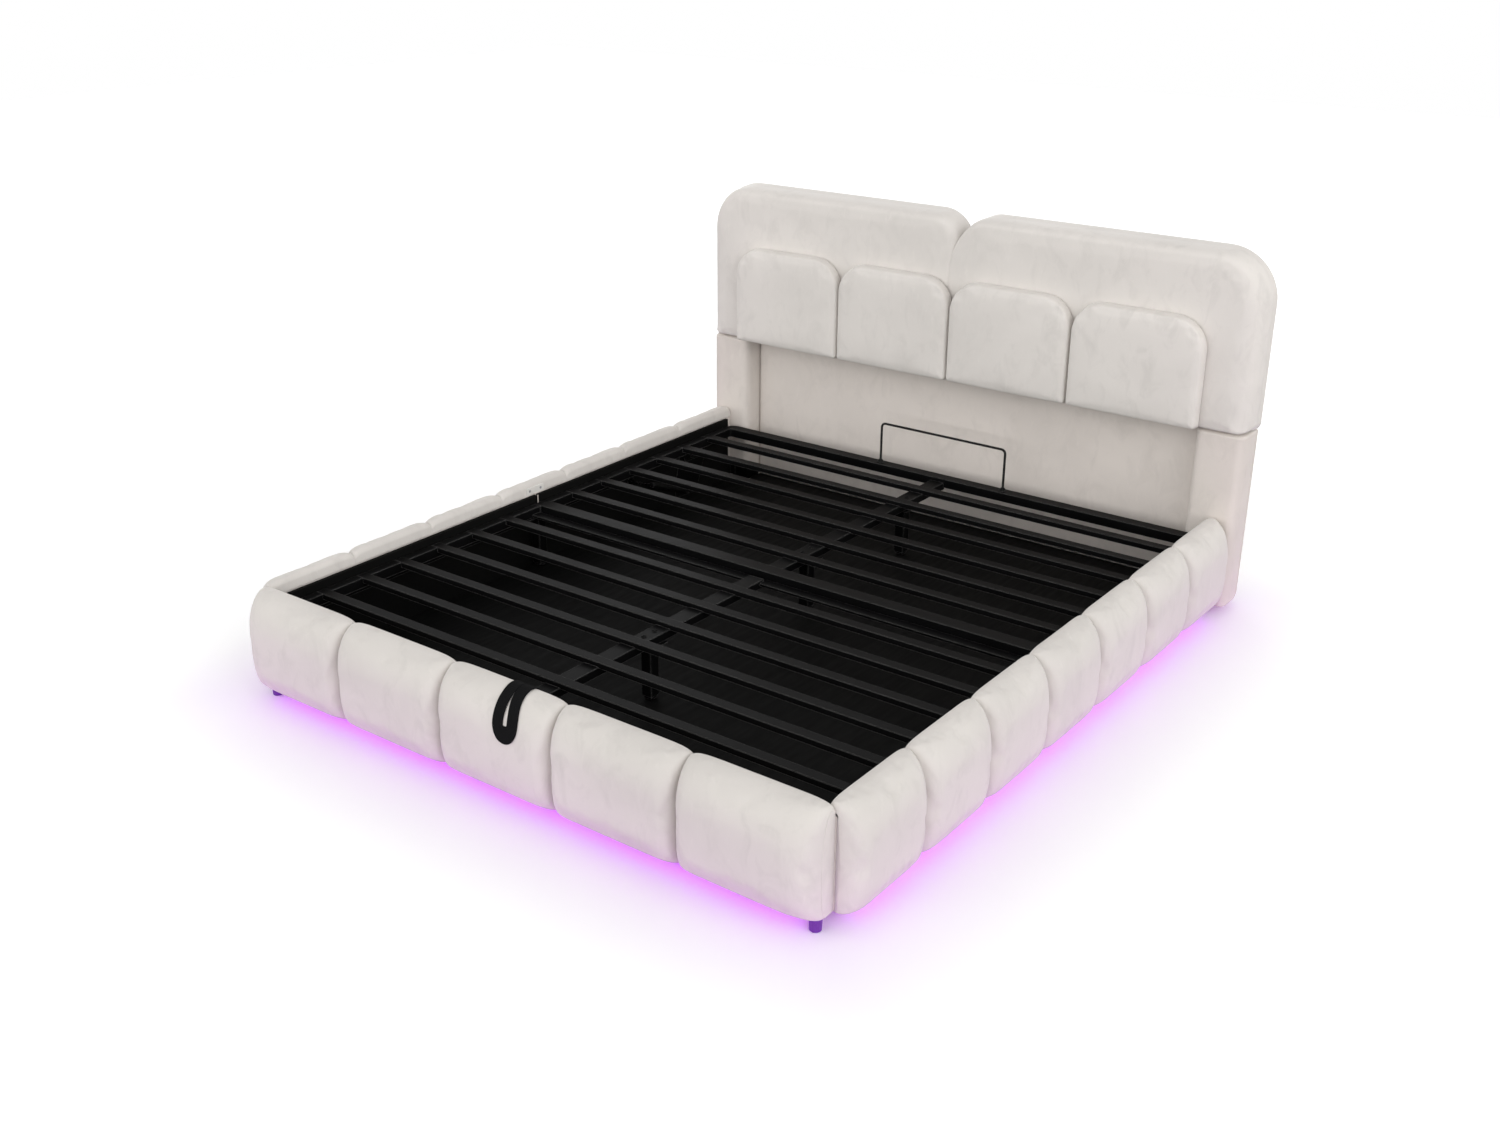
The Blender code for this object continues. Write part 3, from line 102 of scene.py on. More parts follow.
class Nodes:
    """A material's node tree, with short calls for the nodes used here."""

    def __init__(self, name):
        self.material = bpy.data.materials.new(name)
        self.material.use_nodes = True
        self.tree = self.material.node_tree
        self.shader = self.tree.nodes["Principled BSDF"]
        self.output = self.tree.nodes["Material Output"]

    def add(self, kind, **settings):
        node = self.tree.nodes.new(kind)
        for key, value in settings.items():
            setattr(node, key, value)
        return node

    def link(self, start, end):
        self.tree.links.new(start, end)

    def set(self, **values):
        for key, value in values.items():
            self.shader.inputs[key.replace("_", " ")].default_value = value

    def place(self, scale=(1, 1, 1)):
        """Object coordinates in metres, stretched by scale."""
        spot = self.add("ShaderNodeTexCoord")
        mapping = self.add("ShaderNodeMapping")
        mapping.inputs["Scale"].default_value = scale
        self.link(spot.outputs["Object"], mapping.inputs["Vector"])
        return mapping.outputs["Vector"]

    def noise(self, scale, detail=2, roughness=0.5, stretch=(1, 1, 1), distortion=0):
        node = self.add("ShaderNodeTexNoise")
        node.inputs["Scale"].default_value = scale
        node.inputs["Detail"].default_value = detail
        node.inputs["Roughness"].default_value = roughness
        node.inputs["Distortion"].default_value = distortion
        self.link(self.place(stretch), node.inputs["Vector"])
        return node.outputs["Fac"]

    def wave(self, scale, direction, distortion=0.0):
        node = self.add("ShaderNodeTexWave", wave_type="BANDS", bands_direction=direction)
        node.inputs["Scale"].default_value = scale
        node.inputs["Distortion"].default_value = distortion
        node.inputs["Detail"].default_value = 1
        self.link(self.place(), node.inputs["Vector"])
        return node.outputs["Fac"]

    def span(self, value, low, high, start=0.0, end=1.0):
        node = self.add("ShaderNodeMapRange")
        node.inputs["From Min"].default_value = low
        node.inputs["From Max"].default_value = high
        node.inputs["To Min"].default_value = start
        node.inputs["To Max"].default_value = end
        self.link(value, node.inputs["Value"])
        return node.outputs["Result"]

    def math(self, operation, first, second):
        node = self.add("ShaderNodeMath", operation=operation)
        for socket, value in zip(node.inputs, (first, second)):
            if isinstance(value, (int, float)):
                socket.default_value = value
            else:
                self.link(value, socket)
        return node.outputs[0]

    def mix(self, factor, first, second):
        node = self.add("ShaderNodeMix", data_type="RGBA")
        for socket, value in ((node.inputs[0], factor), (node.inputs[6], first), (node.inputs[7], second)):
            if isinstance(value, (int, float, tuple)):
                socket.default_value = value
            else:
                self.link(value, socket)
        return node.outputs[2]

    def edges(self, radius):
        """One on a sharp edge, nought on a flat face: the mask where a highlight is painted along edges."""
        rounded = self.add("ShaderNodeBevel", samples=4)
        rounded.inputs["Radius"].default_value = radius
        flat = self.add("ShaderNodeNewGeometry")
        turn = self.add("ShaderNodeVectorMath", operation="DOT_PRODUCT")
        self.link(rounded.outputs["Normal"], turn.inputs[0])
        self.link(flat.outputs["Normal"], turn.inputs[1])
        return self.span(turn.outputs["Value"], 0.995, 0.90)

    def bump(self, height, distance, strength=1.0, under=None):
        node = self.add("ShaderNodeBump")
        node.inputs["Strength"].default_value = strength
        node.inputs["Distance"].default_value = distance
        self.link(height, node.inputs["Height"])
        if under is not None:
            self.link(under, node.inputs["Normal"])
        return node.outputs["Normal"]

    def colour(self, value):
        self.link(value, self.shader.inputs["Base Color"])

    def roughness(self, value):
        self.link(value, self.shader.inputs["Roughness"])

    def normal(self, value):
        self.link(value, self.shader.inputs["Normal"])


def shade(base, factor):
    return tuple(min(part * factor, 1.0) for part in base[:3]) + (1.0,)


# Materials
VELVET = (0.675, 0.640, 0.605)
# A darker, warmer copy of the velvet: painted shade for the velvet over boards.
SHADED_BOARD_VELVET = (0.655, 0.602, 0.558)


def velvet_material(name="velvet_cloth", base=VELVET):
    """Short pile velvet: brushed patches, a soft sheen and a fine nap."""
    n = Nodes(name)
    brushed = n.noise(2.6, detail=3, roughness=0.5, stretch=(1, 1, 1.5), distortion=0.5)
    patches = n.noise(13, detail=4, roughness=0.62, stretch=(1.3, 1.3, 0.8), distortion=0.8)
    strokes = n.noise(46, detail=3, roughness=0.6, stretch=(1.5, 1.5, 0.5))
    nap = n.noise(1100, detail=2)
    light = n.mix(n.span(brushed, 0.35, 0.65), shade(base, 0.945), shade(base, 1.03))
    marked = n.mix(n.span(patches, 0.50, 0.72, 0.0, 0.75), light, shade(base, 0.885))
    marked = n.mix(n.span(strokes, 0.58, 0.76, 0.0, 0.45), marked, shade(base, 1.06))
    n.colour(n.mix(n.span(nap, 0.3, 0.7, 0.0, 0.30), marked, shade(base, 0.92)))
    n.roughness(n.span(patches, 0.3, 0.7, 0.78, 0.92))
    soft = n.bump(patches, 0.003, 0.35)
    n.normal(n.bump(nap, 0.0004, 0.3, under=soft))
    n.set(Sheen_Weight=0.40, Sheen_Roughness=0.35, Sheen_Tint=(1, 0.985, 0.97, 1), Specular_IOR_Level=0.15)
    return n.material


def shaded_board_velvet_material():
    """The same velvet drawn over board, darker and warmer: painted shade on the posts, lower panel and joint
    trim.
    """
    return velvet_material("velvet_board_painted_shade", SHADED_BOARD_VELVET)


def powder_material():
    """Matt black powder coat with its orange peel, and a highlight painted along its sharp edges."""
    n = Nodes("powder_coat")
    peel = n.noise(620, detail=2)
    cloud = n.noise(7, detail=3)
    coat = n.mix(n.span(cloud, 0.3, 0.7), (0.0030, 0.0030, 0.0031, 1), (0.0042, 0.0042, 0.0044, 1))
    # Painted highlight: the coat's colour turns lighter along sharp edges.
    n.colour(n.mix(n.edges(0.0016), coat, (0.130, 0.128, 0.125, 1)))
    n.roughness(n.span(cloud, 0.3, 0.7, 0.34, 0.42))
    n.normal(n.bump(peel, 0.0002, 0.4))
    n.set(Specular_IOR_Level=0.030)
    return n.material


def lining_material():
    """Black faced board with a faint grain."""
    n = Nodes("black_lining_board")
    grain = n.noise(55, detail=4, roughness=0.6, stretch=(1, 0.12, 1))
    cloud = n.noise(2.5, detail=3)
    n.colour(n.mix(n.span(cloud, 0.3, 0.7), (0.0030, 0.0030, 0.0030, 1), (0.0052, 0.0052, 0.0050, 1)))
    n.roughness(n.span(grain, 0.3, 0.7, 0.58, 0.72))
    n.normal(n.bump(grain, 0.0002, 0.3))
    n.set(Specular_IOR_Level=0.06)
    return n.material


def white_plate_material():
    """Off-white painted steel, with a highlight painted along its edges."""
    n = Nodes("off_white_steel")
    cloud = n.noise(40, detail=2)
    paint = n.mix(n.span(cloud, 0.3, 0.7), (0.66, 0.64, 0.61, 1), (0.72, 0.70, 0.67, 1))
    # Painted highlight: near-white colour along the plate's edges.
    n.colour(n.mix(n.edges(0.0014), paint, (0.95, 0.94, 0.92, 1)))
    n.set(Roughness=0.42)
    n.normal(n.bump(n.noise(600), 0.0002, 0.3))
    return n.material


def screw_material():
    n = Nodes("screw_steel")
    spangle = n.noise(900, detail=3)
    n.colour(n.mix(n.span(spangle, 0.3, 0.7), (0.30, 0.30, 0.31, 1), (0.46, 0.46, 0.47, 1)))
    n.roughness(n.span(spangle, 0.3, 0.7, 0.30, 0.45))
    n.set(Metallic=1.0)
    return n.material


def rod_material():
    n = Nodes("nitrided_rod")
    turned = n.noise(240, detail=2, stretch=(0.2, 1, 1))
    n.colour(n.mix(n.span(turned, 0.3, 0.7), (0.030, 0.030, 0.033, 1), (0.050, 0.050, 0.054, 1)))
    n.roughness(n.span(turned, 0.3, 0.7, 0.20, 0.30))
    n.set(Metallic=1.0)
    return n.material


def plastic_material():
    n = Nodes("moulded_plastic")
    skin = n.noise(300, detail=2)
    n.colour(n.mix(n.span(skin, 0.3, 0.7), (0.058, 0.054, 0.070, 1), (0.076, 0.071, 0.090, 1)))
    n.roughness(n.span(skin, 0.3, 0.7, 0.30, 0.42))
    n.normal(n.bump(skin, 0.0002, 0.4))
    return n.material


def plastic_with_painted_strip_glow_material():
    """Plastic of the front feet, with the strips' purple light painted into its colour."""
    n = Nodes("plastic_painted_strip_glow")
    skin = n.noise(300, detail=2)
    n.colour(n.mix(n.span(skin, 0.3, 0.7), (0.130, 0.036, 0.270, 1), (0.155, 0.044, 0.320, 1)))
    n.roughness(n.span(skin, 0.3, 0.7, 0.34, 0.46))
    n.normal(n.bump(skin, 0.0002, 0.4))
    n.set(Specular_IOR_Level=0.2)
    return n.material


def webbing_material():
    """Woven strap: ribs across, a chevron along and loose fibres."""
    n = Nodes("woven_webbing")
    rib = n.wave(150, "Z", distortion=0.6)
    twill = n.wave(110, "DIAGONAL", distortion=0.4)
    fibre = n.noise(1500, detail=2)
    n.colour(n.mix(n.span(fibre, 0.3, 0.7), (0.0050, 0.0050, 0.0052, 1), (0.0100, 0.0100, 0.0105, 1)))
    n.set(Roughness=0.9, Specular_IOR_Level=0.05)
    weave = n.bump(rib, 0.0005, 0.7, under=n.bump(twill, 0.0003, 0.6))
    n.normal(n.bump(fibre, 0.0002, 0.5, under=weave))
    return n.material


LED_LIGHT = (0.66, 0.0, 1.0, 1)
LED_STRENGTH = 4.4


def led_material():
    """Frosted cover of the light strip, with the diodes' dots behind it."""
    n = Nodes("led_cover")
    dots = n.noise(80, detail=1)
    n.colour(n.mix(n.span(dots, 0.3, 0.7), (0.72, 0.28, 0.92, 1), (0.80, 0.36, 0.97, 1)))
    n.set(Roughness=0.35, Emission_Color=LED_LIGHT, Emission_Strength=LED_STRENGTH)
    return n.material


def new_piece(name, points, faces, material):
    mesh = bpy.data.meshes.new(name)
    mesh.from_pydata([tuple(p) for p in points], [], faces)
    mesh.update()
    mesh.materials.append(material)
    mesh.shade_smooth()
    piece = bpy.data.objects.new(name, mesh)
    bpy.context.collection.objects.link(piece)
    return piece


def settle(piece, body="bed_base", node=None):
    """Say what the piece rides on and hide the part it replaces."""
    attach(piece, body)
    if node:
        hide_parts(node)
    return piece


def skin_faces(columns, rows, flip=False):
    """Faces of closed rings of rows, column after column, with two end caps."""
    faces = []
    for c in range(columns - 1):
        for r in range(rows):
            after = (r + 1) % rows
            quad = (c * rows + r, c * rows + after, (c + 1) * rows + after, (c + 1) * rows + r)
            faces.append(quad[::-1] if flip else quad)
    first = tuple(range(rows))
    last = tuple((columns - 1) * rows + r for r in range(rows))
    faces += [first[::-1], last] if not flip else [first, last[::-1]]
    return faces


PATH_STEPS = 24


def smooth_path(points, count):
    """Resample a path through the points evenly, by a cubic through each four."""
    points = np.array(points, float)
    padded = np.vstack([2 * points[0] - points[1], points, 2 * points[-1] - points[-2]])
    fine = []
    for i in range(1, len(padded) - 2):
        p0, p1, p2, p3 = padded[i - 1:i + 3]
        for t in np.linspace(0, 1, PATH_STEPS, endpoint=False):
            fine.append(0.5 * (2 * p1 + (p2 - p0) * t + (2 * p0 - 5 * p1 + 4 * p2 - p3) * t * t
                               + (3 * p1 - p0 - 3 * p2 + p3) * t ** 3))
    fine.append(points[-1])
    fine = np.array(fine)
    run = np.concatenate([[0], np.cumsum(np.linalg.norm(np.diff(fine, axis=0), axis=1))])
    wanted = np.linspace(0, run[-1], count)
    return np.stack([np.interp(wanted, run, fine[:, k]) for k in range(fine.shape[1])], 1)


# Cloth that swells over its seams
CLOTH_FRAMES = 20
CLOTH_PRESSURE = 4.0
CLOTH_EASE = -0.012
CLOTH_QUALITY = 5
CLOTH_MASS = 0.25
CLOTH_TENSION = 14
CLOTH_SHEAR = 6
CLOTH_BENDING = 0.25


def inflate(piece, pinned, cap, freedom=None, box=None):
    """Let the cover swell and settle as cloth over its pinned seams, by no more than cap."""
    mesh = piece.data
    before = np.empty(len(mesh.vertices) * 3)
    mesh.vertices.foreach_get("co", before)
    before = before.reshape(-1, 3)
    piece.vertex_groups.new(name="seams").add([int(i) for i in np.flatnonzero(pinned)], 1.0, "REPLACE")
    cloth = piece.modifiers.new("cover", "CLOTH")
    settings = cloth.settings
    settings.quality = CLOTH_QUALITY
    settings.mass = CLOTH_MASS
    settings.tension_stiffness = settings.compression_stiffness = CLOTH_TENSION
    settings.shear_stiffness = CLOTH_SHEAR
    settings.bending_stiffness = CLOTH_BENDING
    settings.use_pressure = True
    settings.uniform_pressure_force = CLOTH_PRESSURE
    settings.shrink_min = settings.shrink_max = CLOTH_EASE
    settings.vertex_group_mass = "seams"
    settings.effector_weights.gravity = 0
    cloth.collision_settings.use_collision = False
    cloth.point_cache.frame_start = 1
    cloth.point_cache.frame_end = CLOTH_FRAMES
    for step in range(1, CLOTH_FRAMES + 1):
        bpy.context.scene.frame_set(step)
    settled = piece.evaluated_get(bpy.context.evaluated_depsgraph_get()).data
    after = np.empty(len(before) * 3)
    settled.vertices.foreach_get("co", after)
    move = after.reshape(-1, 3) - before
    piece.modifiers.remove(cloth)
    piece.vertex_groups.clear()
    bpy.context.scene.frame_set(1)
    length = np.linalg.norm(move, axis=1, keepdims=True)
    move *= np.minimum(1, cap / np.maximum(length, 1e-9))
    if freedom is not None:
        move *= freedom[:, None]
    place = before + move
    if box is not None:
        place = np.where(pinned[:, None], before, np.clip(place, np.array(box[0]), np.array(box[1])))
    mesh.vertices.foreach_set("co", place.ravel())
    mesh.update()


# Rails: the section's shares of depth and height, from the inner edge over the crown
PUFF_PROFILE_SHARES = (
    (0.00, 0.955), (0.04, 0.982), (0.14, 0.997), (0.27, 1.000), (0.45, 0.977),
    (0.69, 0.910), (0.88, 0.795), (0.98, 0.630), (1.00, 0.440), (0.98, 0.250),
    (0.91, 0.110), (0.81, 0.035), (0.69, 0.000),
)
CHANNEL_DIP = 0.018
FRONT_CROWN, FRONT_CHANNEL, FRONT_BOARD = 0.098, 0.045, 0.022
SIDE_CROWN, SIDE_CHANNEL, SIDE_BOARD = 0.084, 0.034, 0.020
FRONT_FULLNESS, FRONT_END_FULLNESS, SIDE_FULLNESS = 12, 5, 7
PROFILE_ROWS = 46
PUFF_COLUMNS = 44
PUFF_CREST = 8
RAIL_CAP = 0.0035
FACING_BOTTOM = PANEL_TOP + 0.0012
FACING_ROWS = 7
FACING_FULL = 0.0022
FACING_THIN = 0.0002
PLATE_CLEAR = 0.046


def puff_stations(puffs, fullness, end_fullness):
    """Places along the rail, closer together at the channels, and the puffs' fullness and height there."""
    turn = np.linspace(0, 1, PUFF_COLUMNS, endpoint=False)
    within = 0.72 * (0.5 - 0.5 * np.cos(np.pi * turn)) + 0.28 * turn
    places = np.concatenate([(p + within) / puffs for p in range(puffs)] + [[1.0]])
    off = np.abs(2 * (places * puffs % 1) - 1)
    off[-1] = 1
    at_end = abs(places * puffs - puffs / 2) > (puffs - 1) / 2
    power = np.where(at_end, end_fullness, fullness)
    return places, np.sqrt(1 - off ** power), np.sqrt(1 - off ** PUFF_CREST)


def facing_depth(along, full, deepest, plate):
    """How proud the cloth on the inner face stands; nearly flush beside the mending plate."""
    depth = FACING_THIN + (deepest - FACING_THIN) * full ** 0.5
    if plate is None:
        return depth
    clear = np.clip((abs(along - plate) - PLATE_CLEAR) / PLATE_CLEAR, 0, 1)
    return FACING_THIN + (depth - FACING_THIN) * clear


def rail_cushion(name, node, puffs, start, length, sizes, place, flip, material, facing, plate=None):
    """A skin of puffs that wraps over the rail's top and down its inner face."""
    crown, channel, board, full_power, end_power = sizes
    shape = smooth_path(PUFF_PROFILE_SHARES, PROFILE_ROWS)
    places, fullness, crests = puff_stations(puffs, full_power, end_power)
    points = []
    for share, full, crest in zip(places, fullness, crests):
        along = start + length * share
        top = RAIL_TOP - CHANNEL_DIP * (1 - crest)
        depth = channel + (crown - channel) * full
        proud = facing_depth(along, full, facing, plate)
        rise = top - RAIL_BOTTOM
        edge = RAIL_BOTTOM + rise * PUFF_PROFILE_SHARES[0][1]
        ring = [(-proud * min(1, 0.3 + row), FACING_BOTTOM + (edge - FACING_BOTTOM) * row / FACING_ROWS)
                for row in range(FACING_ROWS)]
        ring += [(depth * u - proud * max(0, 1 - u / 0.05), RAIL_BOTTOM + rise * v) for u, v in shape]
        ring += [(board + GAP, RAIL_BOTTOM), (board + GAP, BOARD_TOP + GAP),
                 (-FACING_THIN / 2, BOARD_TOP + GAP), (-FACING_THIN / 2, FACING_BOTTOM)]
        points += [place(out, along, up) for out, up in ring]
    rows = FACING_ROWS + PROFILE_ROWS + 4
    piece = new_piece(name, points, skin_faces(len(places), rows, flip), material)
    row = np.tile(np.arange(rows), len(places))
    column = np.repeat(fullness, rows)
    pinned = (column < 0.05) | (row < FACING_ROWS + 4) | (row > FACING_ROWS + PROFILE_ROWS - 4)
    free = np.clip((np.abs(np.array(points)[:, 0] - STRAP_MIDDLE) - STRAP_KEEP) / STRAP_KEEP, 0, 1)
    inflate(piece, pinned, RAIL_CAP, free if name.startswith("front") else None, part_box(node))
    return settle(piece, node=node)


def rails(velvet):
    half = FRONT_HIGH[0]
    rail_cushion("front_rail_velvet", "front_rail_cushion", 5, -half, 2 * half,
                 (FRONT_CROWN, FRONT_CHANNEL, FRONT_BOARD, FRONT_FULLNESS, FRONT_END_FULLNESS),
                 lambda out, along, up: (along, FOOT - out, up), False, velvet, FACING_THIN * 3)
    low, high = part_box("side_rail_cushion_right")
    for side, label in ((-1, "left"), (1, "right")):
        rail_cushion(f"side_rail_velvet_{label}", f"side_rail_cushion_{label}", 7, low[1], high[1] - low[1],
                     (SIDE_CROWN, SIDE_CHANNEL, SIDE_BOARD, SIDE_FULLNESS, SIDE_FULLNESS),
                     lambda out, along, up: (side * (SIDE + out), along, up), side < 0, velvet,
                     FACING_FULL, plate=MIDDLE)
        rail_end(side, label, velvet)


END_COVER_RISE = 0.0014
END_COVER_ROUND = 0.0025


def rail_end(side, label, velvet):
    """The flat cover sewn over the front rail's end, bounded by the last channel's curve."""
    shape = smooth_path(PUFF_PROFILE_SHARES, PROFILE_ROWS)
    rise = RAIL_TOP - CHANNEL_DIP - RAIL_BOTTOM
    outline = np.array([(0, RAIL_BOTTOM)] + [(FRONT_CHANNEL * u, RAIL_BOTTOM + rise * v)
                                             for u, v in shape[::-1]])
    middle = outline.mean(axis=0)
    reach = float(FRONT_HIGH[0])
    points = []
    for inset, out in ((0.0, -END_COVER_RISE), (0.0, 0.0), (END_COVER_ROUND / 4, END_COVER_RISE * 0.75),
                       (END_COVER_ROUND, END_COVER_RISE)):
        for spot in outline:
            inward = (middle - spot) / max(np.linalg.norm(middle - spot), 1e-9)
            a, b = spot + inward * inset
            points.append((side * (reach + out), FOOT - a, b))
    piece = new_piece(f"front_rail_end_{label}", points, skin_faces(4, len(outline), side > 0), velvet)
    settle(piece)


# Cushions, posts and panel: corner radii are outer top, inner top and foot; edge sizes are
# outer, inner, top and foot; the wall and crown are shares of the depth
CUSHION_CORNERS = (0.155, 0.105, 0.030)
CUSHION_EDGES = {"left": (0.060, 0.050, 0.026, 0.006), "right": (0.060, 0.012, 0.026, 0.006)}
CUSHION_MEET = {"left": 0.5, "right": 0.16}
CUSHION_WALL, CUSHION_CROWN, CUSHION_FILL = 0.46, 0.03, 0.85
CUSHION_CAP, CUSHION_POWER = 0.005, 2.3
POST_CORNERS, POST_EDGES = (0.004, 0.004, 0.006), (0.024, 0.020, 0.003, 0.004)
POST_WALL, POST_CROWN = 0.80, 0.01
PAD_CORNERS, PAD_EDGES = (0.098, 0.098, 0.014), (0.006, 0.006, 0.007, 0.006)
PAD_WALL, PAD_CROWN, PAD_FILL = 0.70, 0.22, 0.8
PAD_CELL, PAD_CAP = 0.0075, 0.003
PANEL_CORNERS, PANEL_EDGES = (0.010, 0.010, 0.010), (0.005, 0.005, 0.005, 0.010)
PANEL_WALL, PANEL_CROWN, PANEL_CELL = 0.80, 0.04, 0.014
CUSHION_LAP = 0.036
LAP_CORNER_HEIGHT = 0.21
LAP_EASE = 0.14
MEET_KEEP = 0.05


def rolled(distance, size, power=2.0):
    """A rounded edge's rise over the first size of distance; two is a quarter circle."""
    share = np.clip(distance / size, 0, 1)
    return np.sqrt(1 - (1 - share) ** power)


def pillow(name, node, corners, edges, wall, crown, material, cell=0.009, cap=0.006,
           meet=1.0, lap=0.0, power=2.0):
    """Upholstered pad: rounded outline, rolled front edges, a low crown and a flat back.

    Where two pads press together the inner edge rolls back by only the share meet; the pad
    in front laps over the other by lap, with a tall corner that starts at the same place.
    """
    low, high = (np.array(corner, float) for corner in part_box(node))
    half = (high - low) / 2
    middle = (high + low) / 2
    width, depth, height = high - low
    outward = 1 if middle[0] >= 0 else -1

    def steps(length):
        even = np.linspace(-1, 1, max(int(length / cell), 12))
        return 0.42 * even + 0.58 * np.sin(even * np.pi / 2)

    across, upward = np.meshgrid(steps(width) * half[0], steps(height) * half[2], indexing="ij")
    outer = across * outward > 0
    radius = np.where(upward > 0, np.where(outer, corners[0], corners[1]), corners[2])
    a = (np.abs(across) - (half[0] - radius)) / radius
    b = (np.abs(upward) - (half[2] - radius)) / radius
    turning = (a > 0) & (b > 0)
    a2 = np.where(turning, a * np.sqrt(np.clip(1 - b * b / 2, 0, None)), a)
    b2 = np.where(turning, b * np.sqrt(np.clip(1 - a * a / 2, 0, None)), b)
    x = np.where(turning, np.sign(across) * (half[0] - radius + a2 * radius), across)
    z = np.where(turning, np.sign(upward) * (half[2] - radius + b2 * radius), upward)
    side_size = np.where(outer, edges[0], edges[1])
    side_share = np.where(outer, 1.0, meet)
    end_size = np.where(upward > 0, edges[2], edges[3])
    reach = np.hypot(a2, b2)
    upright = np.where(turning, (b2 / np.maximum(reach, 1e-9)) ** 2, 0)
    to_arc = radius * (1 - reach)
    around = 1 - (side_share + (1 - side_share) * upright) * (
        1 - rolled(to_arc, side_size + (end_size - side_size) * upright, power))
    straight = (1 - side_share * (1 - rolled(half[0] - np.abs(x), side_size, power))) * rolled(
        half[2] - np.abs(z), end_size, power)
    at_foot = straight * np.where(turning, rolled(to_arc, edges[3]), 1)
    swell = np.where(turning & (upward > 0) & (radius >= np.maximum(side_size, end_size)), around, at_foot)
    bulge = (1 - (across / half[0]) ** 2) * (1 - (upward / half[2]) ** 2)
    front = depth * (wall + (1 - wall) * swell) * (1 - crown) + depth * crown * np.clip(bulge, 0, 1) ** 0.7
    down = half[2] - z
    arc = corners[1] * (1 - np.sqrt(np.clip(1 - (1 - np.minimum(down / corners[1], 1)) ** 2, 0, None)))
    tall = corners[1] - (corners[1] + lap) * np.sqrt(
        np.clip(1 - (1 - np.minimum(down / LAP_CORNER_HEIGHT, 1)) ** 2, 0, None))
    near = np.clip(1 - (half[0] + x * outward) / LAP_EASE, 0, 1)
    x = x - outward * np.clip(arc - tall, 0, None) * near * near * (3 - 2 * near) * (lap > 0)
    columns, rows = across.shape
    points = [(middle[0] + x[i, j], high[1] - front[i, j], middle[2] + z[i, j])
              for i in range(columns) for j in range(rows)]
    faces = [(i * rows + j, (i + 1) * rows + j, (i + 1) * rows + j + 1, i * rows + j + 1)
             for i in range(columns - 1) for j in range(rows - 1)]
    rim = ([(i, 0) for i in range(columns)] + [(columns - 1, j) for j in range(1, rows)]
           + [(i, rows - 1) for i in range(columns - 2, -1, -1)] + [(0, j) for j in range(rows - 2, 0, -1)])
    loop = [i * rows + j for i, j in rim]
    skin = len(points)
    for share, inset in ((0.66, 0.0), (0.33, 0.0), (0.0, 0.006)):
        start = len(points)
        for i, j in rim:
            back = depth * wall * (1 - crown) * share
            points.append((middle[0] + x[i, j] * (1 - inset / half[0]), high[1] - back,
                           middle[2] + z[i, j] * (1 - inset / half[2])))
        fresh = list(range(start, start + len(rim)))
        for k in range(len(rim)):
            after = (k + 1) % len(rim)
            faces.append((loop[k], fresh[k], fresh[after], loop[after]))
        loop = fresh
    faces.append(tuple(loop))
    piece = new_piece(name, points, faces, material)
    if cap:
        pinned = np.arange(len(points)) >= skin + len(rim)
        beside = np.abs(np.array(points)[:, 0] - middle[0] + outward * half[0])
        free = np.clip((beside - MEET_KEEP) / MEET_KEEP, 0, 1) if meet < 1 else None
        inflate(piece, pinned, cap, free, (low - (lap, 0, 0), high))
    return settle(piece, node=node)


def headboard(velvet, shaded_board_velvet):
    for label in ("left", "right"):
        pillow(f"headboard_velvet_{label}", f"headboard_cushion_{label}", CUSHION_CORNERS,
               CUSHION_EDGES[label], CUSHION_WALL, CUSHION_CROWN, velvet, cap=CUSHION_CAP,
               meet=CUSHION_MEET[label], lap=CUSHION_LAP * (label == "right"), power=CUSHION_POWER)
        # Posts and lower panel take the board velvet, with shade painted into its colour.
        pillow(f"headboard_post_velvet_{label}", f"headboard_post_{label}", POST_CORNERS, POST_EDGES,
               POST_WALL, POST_CROWN, shaded_board_velvet, cap=0)
    for index in range(1, 5):
        pillow(f"front_pad_velvet_{index}", f"front_cushion_{index}", PAD_CORNERS, PAD_EDGES,
               PAD_WALL, PAD_CROWN, velvet, cell=PAD_CELL, cap=PAD_CAP)
    pillow("lower_panel_velvet", "headboard_lower_panel", PANEL_CORNERS, PANEL_EDGES,
           PANEL_WALL, PANEL_CROWN, shaded_board_velvet, cell=PANEL_CELL, cap=0)


# Pull strap, laid over the front rail's puff
SLAT_TOP = 0.254
FRAME_FOOT = FOOT + 0.006
STRAP_THICKNESS = 0.0024
STRAP_CLEARANCE = 0.0014
STRAP_LEFT = 0.0375
STRAP_WIDTH = 0.033
STRAP_SLIT = 0.0007
STRAP_SPREAD = 0.0125
STRAP_SPLIT = 0.087
STRAP_TURN_DEPTH = 0.0277
STRAP_TURN_WIDTH = 0.0454
STRAP_BOTTOM = 0.2018
STRAP_TAIL = 0.022
STRAP_DRAPE_STEPS = 160
STRAP_ROWS = 84
STRAP_TURN_ROWS = 28
STRAP_MIDDLE = 0.060
STRAP_KEEP = 0.060
# Cross section of the webbing: shares of half its width and of half its thickness
STRAP_SECTION_SHARES = (
    (-0.96, -1), (-0.80, -1), (-0.70, -0.8), (0, -0.9), (0.70, -0.8), (0.80, -1), (0.96, -1), (1, 0),
    (0.96, 1), (0.80, 1), (0.70, 0.8), (0, 0.9), (-0.70, 0.8), (-0.80, 1), (-0.96, 1), (-1, 0),
)


